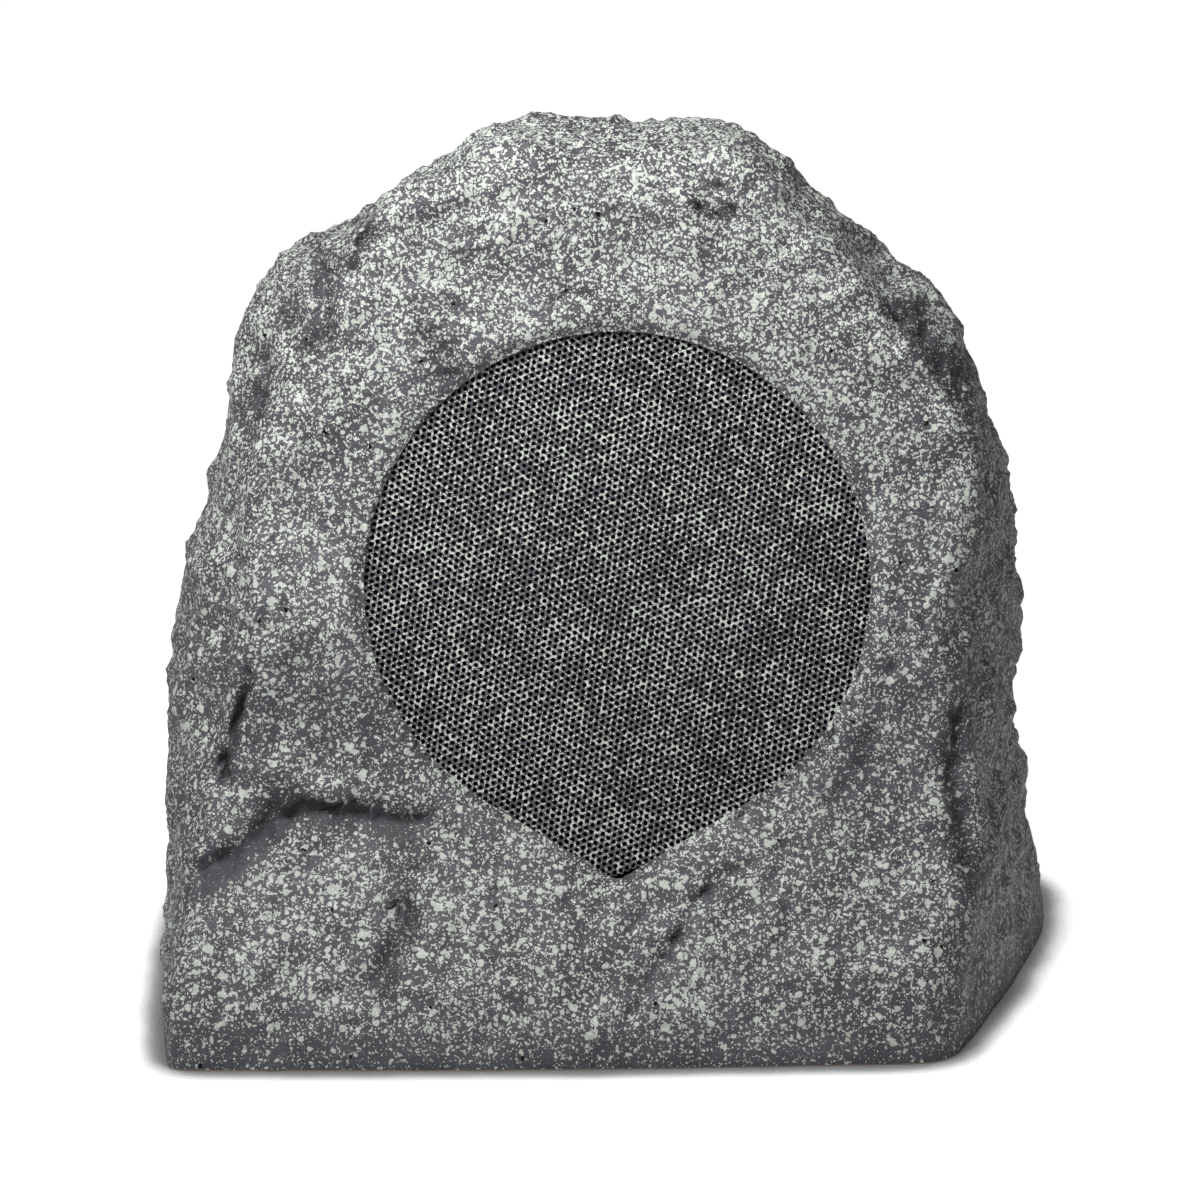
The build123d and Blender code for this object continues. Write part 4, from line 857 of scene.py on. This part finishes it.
# Grille cloth. Black acoustic knit, cut to the grille's outline and stretched flat behind the sheet,
# where it is glued round the edge. It keeps insects out and makes the holes look black.
SHEET = 1.2 * MM
CLOTH_THICKNESS = 0.5 * MM
CLOTH_MARGIN = 0.1 * MM
CLOTH_RINGS = 26
CLOTH_AROUND = 180
CLOTH_PUCKER = 0.06 * MM
CLOTH_PUCKER_SIZE = 4.0 * MM
KNIT_PITCH = 0.7
KNIT_SHADES = (0.0025, 0.0025, 0.003, 1), (0.012, 0.012, 0.013, 1)
cloth_radius = grille_radius - SHEET - CLOTH_MARGIN
edge = np.array(teardrop_outline(cloth_radius, CLOTH_AROUND))
cloth_out = -SHEET - CLOTH_THICKNESS / 2
points = [off_face(0, 0, cloth_out)]
for ring in range(1, CLOTH_RINGS + 1):
    for right, up in (edge * ring / CLOTH_RINGS).tolist():
        pucker = CLOTH_PUCKER * noise.noise(Vector((right, up, 0)) / CLOTH_PUCKER_SIZE)
        points.append(off_face(right, up, cloth_out + pucker))
faces = [(0, 1 + step, 1 + (step + 1) % CLOTH_AROUND) for step in range(CLOTH_AROUND)]
for ring in range(CLOTH_RINGS - 1):
    low = 1 + ring * CLOTH_AROUND
    for step in range(CLOTH_AROUND):
        after = (step + 1) % CLOTH_AROUND
        faces.append((low + step, low + CLOTH_AROUND + step, low + CLOTH_AROUND + after, low + after))
cloth = new_mesh_object("acoustic_knit", points, faces)
cloth.data.shade_smooth()
cloth.data.materials.append(
    surface_of(
        "black_knit", *KNIT_SHADES, 4.0, (0.85, 0.98), 0.2, shine=0.03,
        pattern=lambda tree, place: weave(tree, place, KNIT_PITCH),
    )
)
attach(cloth, CABINET)
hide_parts("grille_cloth")

# Grille. A pan of perforated steel sheet, cut right through its holes at the edge, with a folded skirt
# that stands on the ledge of the well. It was painted with the cabinet, so the same drops cross it. The
# insides of the holes carry painted shade, near black.
HOLE_PITCH = 2.5 * MM
HOLE_RADIUS = 0.90 * MM
HOLE_SIDES = 8
HOLE_ROW_TURN = math.radians(21.3)
HOLE_CUT_LEAST = 0.45
CELL_KEPT = 0.9
CELL_SIDES = 6
CELL_TURN = 30
GRILLE_WELD = 0.004 * MM
GRILLE_SHARP = math.radians(30)
SLOPE_STEP = 0.01 * MM
SLOPE_ROUNDS = 3
SKIRT_HEIGHT = 8.0 * MM
EDGE_BEND = 0.5 * MM
# Near-black painted shade for the insides of the holes
HOLE_PAINTED_SHADE = (0.004, 0.004, 0.0045, 1)


def clamped_to_outline(flat, radius):
    """Flat places, with those outside the outline drawn in to it."""
    moved = flat.copy()
    for _ in range(SLOPE_ROUNDS):
        outside = teardrop_distance(moved[:, 0], moved[:, 1], radius)
        slope_right = teardrop_distance(moved[:, 0] + SLOPE_STEP, moved[:, 1], radius) - outside
        slope_up = teardrop_distance(moved[:, 0], moved[:, 1] + SLOPE_STEP, radius) - outside
        push = np.clip(outside, 0, None)[:, None]
        moved -= push * np.stack([slope_right, slope_up], 1) / SLOPE_STEP
    return moved


def ring_round(middle, radius, angles):
    """Points round a middle."""
    return [(middle.x + radius * math.cos(turn), middle.y + radius * math.sin(turn)) for turn in angles]


sheet_radius = grille_radius - EDGE_BEND
reach = int(grille_tip / HOLE_PITCH) + 2
row_right = Vector((math.cos(HOLE_ROW_TURN), math.sin(HOLE_ROW_TURN)))
row_up = Vector((-row_right.y, row_right.x))
cell_angles = [math.radians(CELL_TURN + 360 / CELL_SIDES * k) + HOLE_ROW_TURN for k in range(CELL_SIDES)]
hole_angles = [math.radians(CELL_TURN + 360 / HOLE_SIDES * k) + HOLE_ROW_TURN for k in range(HOLE_SIDES)]
cell_reach = HOLE_PITCH / math.sqrt(3)
half = HOLE_SIDES // 2
flat, depth, faces = [], [], []
for row in range(-reach, reach + 1):
    for column in range(-reach, reach + 1):
        middle = row_right * ((column + 0.5 * (row % 2)) * HOLE_PITCH)
        middle += row_up * (row * HOLE_PITCH * math.sin(math.radians(60)))
        outside = teardrop_distance(np.array(middle.x), np.array(middle.y), sheet_radius)
        if outside > CELL_KEPT * cell_reach:
            continue
        start = len(flat)
        flat += ring_round(middle, cell_reach, cell_angles)
        depth += [0.0] * CELL_SIDES
        if outside > HOLE_CUT_LEAST * HOLE_RADIUS:
            faces.append(tuple(range(start, start + CELL_SIDES)))
            continue
        ring = ring_round(middle, HOLE_RADIUS, hole_angles)
        flat += ring + ring
        depth += [0.0] * HOLE_SIDES + [-SHEET] * HOLE_SIDES
        top, low = start + CELL_SIDES, start + CELL_SIDES + HOLE_SIDES
        faces.append((start, start + 1, start + 2, start + 3, *(top + k for k in range(half, -1, -1))))
        second = [top + k % HOLE_SIDES for k in range(HOLE_SIDES, half - 1, -1)]
        faces.append((start + 3, start + 4, start + 5, start, *second))
        for k in range(HOLE_SIDES):
            after = (k + 1) % HOLE_SIDES
            faces.append((top + k, top + after, low + after, low + k))
flat = clamped_to_outline(np.array(flat), sheet_radius)
points = [off_face(right, up, out) for (right, up), out in zip(flat.tolist(), depth)]

# Bend and skirt of the pan, outside and inside: inset from the outline, and how far out
SKIRT_ROWS = [
    (EDGE_BEND, 0.0), (0.28 * EDGE_BEND, -0.2 * EDGE_BEND), (0.0, -EDGE_BEND), (0.0, -SKIRT_HEIGHT),
    (SHEET, -SKIRT_HEIGHT), (SHEET, -SHEET),
]
SKIRT_STEPS = 360
skirt_start = len(points)
for inset, out in SKIRT_ROWS:
    points += [off_face(r, u, out) for r, u in teardrop_outline(grille_radius - inset, SKIRT_STEPS)]
for row in range(len(SKIRT_ROWS) - 1):
    for step in range(SKIRT_STEPS):
        after = (step + 1) % SKIRT_STEPS
        low = skirt_start + row * SKIRT_STEPS
        high = low + SKIRT_STEPS
        faces.append((low + step, high + step, high + after, low + after))
grille = new_mesh_object("perforated_grille", points, faces)
work = bmesh.new()
work.from_mesh(grille.data)
bmesh.ops.remove_doubles(work, verts=work.verts, dist=GRILLE_WELD)
bmesh.ops.dissolve_degenerate(work, edges=work.edges, dist=GRILLE_WELD)
work.to_mesh(grille.data)
work.free()
grille.data.shade_smooth()
grille.data.set_sharp_from_angle(angle=GRILLE_SHARP)
GRILLE_COVER = 1.03
GRILLE_COARSE = 0.85
PAINT_REACH = 0.12 * MM
for name, value in (("paint_cover", GRILLE_COVER), ("paint_coarse", GRILLE_COARSE)):
    layer = grille.data.attributes.new(name, "FLOAT", "POINT")
    layer.data.foreach_set("value", np.full(len(grille.data.vertices), value, np.float32))


def painted_shade_in_holes(tree, place, bent, colour):
    """Colour with near-black painted shade on the insides of the holes, below the painted face of the sheet.
    """
    out = add_node(tree, "ShaderNodeVectorMath", {0: place, 1: face_normal}, operation="DOT_PRODUCT")
    inside = math_node(tree, "LESS_THAN", out.outputs["Value"], float(grille_high[2]) - PAINT_REACH)
    return mixed_colour(tree, inside, colour, HOLE_PAINTED_SHADE), inside


grille.data.materials.append(stone_paint("grille_stone_paint", painted_shade_in_holes))
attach(grille, CABINET)
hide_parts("grille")

# Floor, light and camera. A white studio floor, a soft lamp close by at the upper left and an even fill
# from all round; the camera looks a little down on the sloping face.
FLOOR_SIZE = 12.0
FLOOR_GREY = (0.5, 0.5, 0.5, 1)
FLOOR_WHITE = (0.35, 0.35, 0.35, 1)
FLOOR_GLOW = 0.93
# Colour of the painted contact shadow on the floor
FLOOR_PAINTED_SHADOW = (0.02, 0.02, 0.02, 1)
FLOOR_SHADE_REACH = 0.013
FLOOR_SHADE_SAMPLES = 4
FLOOR_SHADE_FROM = 0.7
FLOOR_SHADE_DARKEST = 0.05
FLOOR_ROUGH = 0.9
WHITE = (1, 1, 1, 1)
square = [(-1, -1), (1, -1), (1, 1), (-1, 1)]
corners = [(x * FLOOR_SIZE, y * FLOOR_SIZE, 0) for x, y in square]
floor = new_mesh_object("floor", corners, [(0, 1, 2, 3)])
material, tree, shader = new_surface("white_floor")
path = add_node(tree, "ShaderNodeLightPath")
seen = math_node(tree, "MAXIMUM", path.outputs["Is Camera Ray"], path.outputs["Is Glossy Ray"])
seen = math_node(tree, "MAXIMUM", seen, path.outputs["Is Transmission Ray"])
# Painted contact shadow: the floor's colour and glow darken where the floor sees little open air near the
# cabinet
outside_painted_shadow = add_node(
    tree, "ShaderNodeAmbientOcclusion", {"Distance": FLOOR_SHADE_REACH}, samples=FLOOR_SHADE_SAMPLES
).outputs["AO"]
outside_painted_shadow = ranged(tree, outside_painted_shadow, FLOOR_SHADE_FROM, 1.0, FLOOR_SHADE_DARKEST, 1.0)
glow = math_node(tree, "MULTIPLY", math_node(tree, "MULTIPLY", seen, FLOOR_GLOW), outside_painted_shadow)
white = mixed_colour(tree, outside_painted_shadow, FLOOR_PAINTED_SHADOW, FLOOR_WHITE)
tree.links.new(mixed_colour(tree, seen, FLOOR_GREY, white), shader.inputs["Base Color"])
shader.inputs["Roughness"].default_value = FLOOR_ROUGH
shader.inputs["Specular IOR Level"].default_value = 0.0
shader.inputs["Emission Color"].default_value = WHITE
tree.links.new(glow, shader.inputs["Emission Strength"])
floor.data.materials.append(material)

WORLD_GREY = (0.25, 0.25, 0.255, 1)
world = bpy.data.worlds.new("studio")
world.use_nodes = True
tree = world.node_tree
path = add_node(tree, "ShaderNodeLightPath")
tree.links.new(
    mixed_colour(tree, path.outputs["Is Camera Ray"], WORLD_GREY, WHITE),
    tree.nodes["Background"].inputs["Color"],
)
bpy.context.scene.world = world

KEY_PLACE = Vector((-0.23, -0.33, 0.74))
KEY_TARGET = Vector((0.02, 0, 0.30))
KEY_SIZE = 0.35
KEY_SPREAD = math.radians(130)
KEY_POWER = 3.1
lamp = bpy.data.lights.new("key_lamp", "AREA")
lamp.shape = "SQUARE"
lamp.size = KEY_SIZE
lamp.energy = KEY_POWER
lamp.spread = KEY_SPREAD
key_lamp = bpy.data.objects.new("key_lamp", lamp)
key_lamp.location = KEY_PLACE
key_lamp.rotation_euler = (KEY_TARGET - KEY_PLACE).to_track_quat("-Z", "Y").to_euler()
bpy.context.scene.collection.objects.link(key_lamp)

CAMERA_RISE = 18.0
CAMERA_DISTANCE = 1801.8 * MM
CAMERA_TARGET = Vector((-3.0, -56.3, 155.5)) * MM
CAMERA_FOCUS_PIXELS = 4824.0
IMAGE_PIXELS = 1200.0
SENSOR_WIDTH = 36.0
rise = math.radians(CAMERA_RISE)
camera_data = bpy.data.cameras.new("camera")
camera_data.sensor_width = SENSOR_WIDTH
camera_data.lens = SENSOR_WIDTH * CAMERA_FOCUS_PIXELS / IMAGE_PIXELS
camera = bpy.data.objects.new("camera", camera_data)
camera.location = CAMERA_TARGET + Vector((0, -math.cos(rise), math.sin(rise))) * CAMERA_DISTANCE
camera.rotation_euler = (math.pi / 2 - rise, 0, 0)
bpy.context.scene.collection.objects.link(camera)
bpy.context.scene.camera = camera
bpy.context.scene.view_settings.view_transform = "Standard"
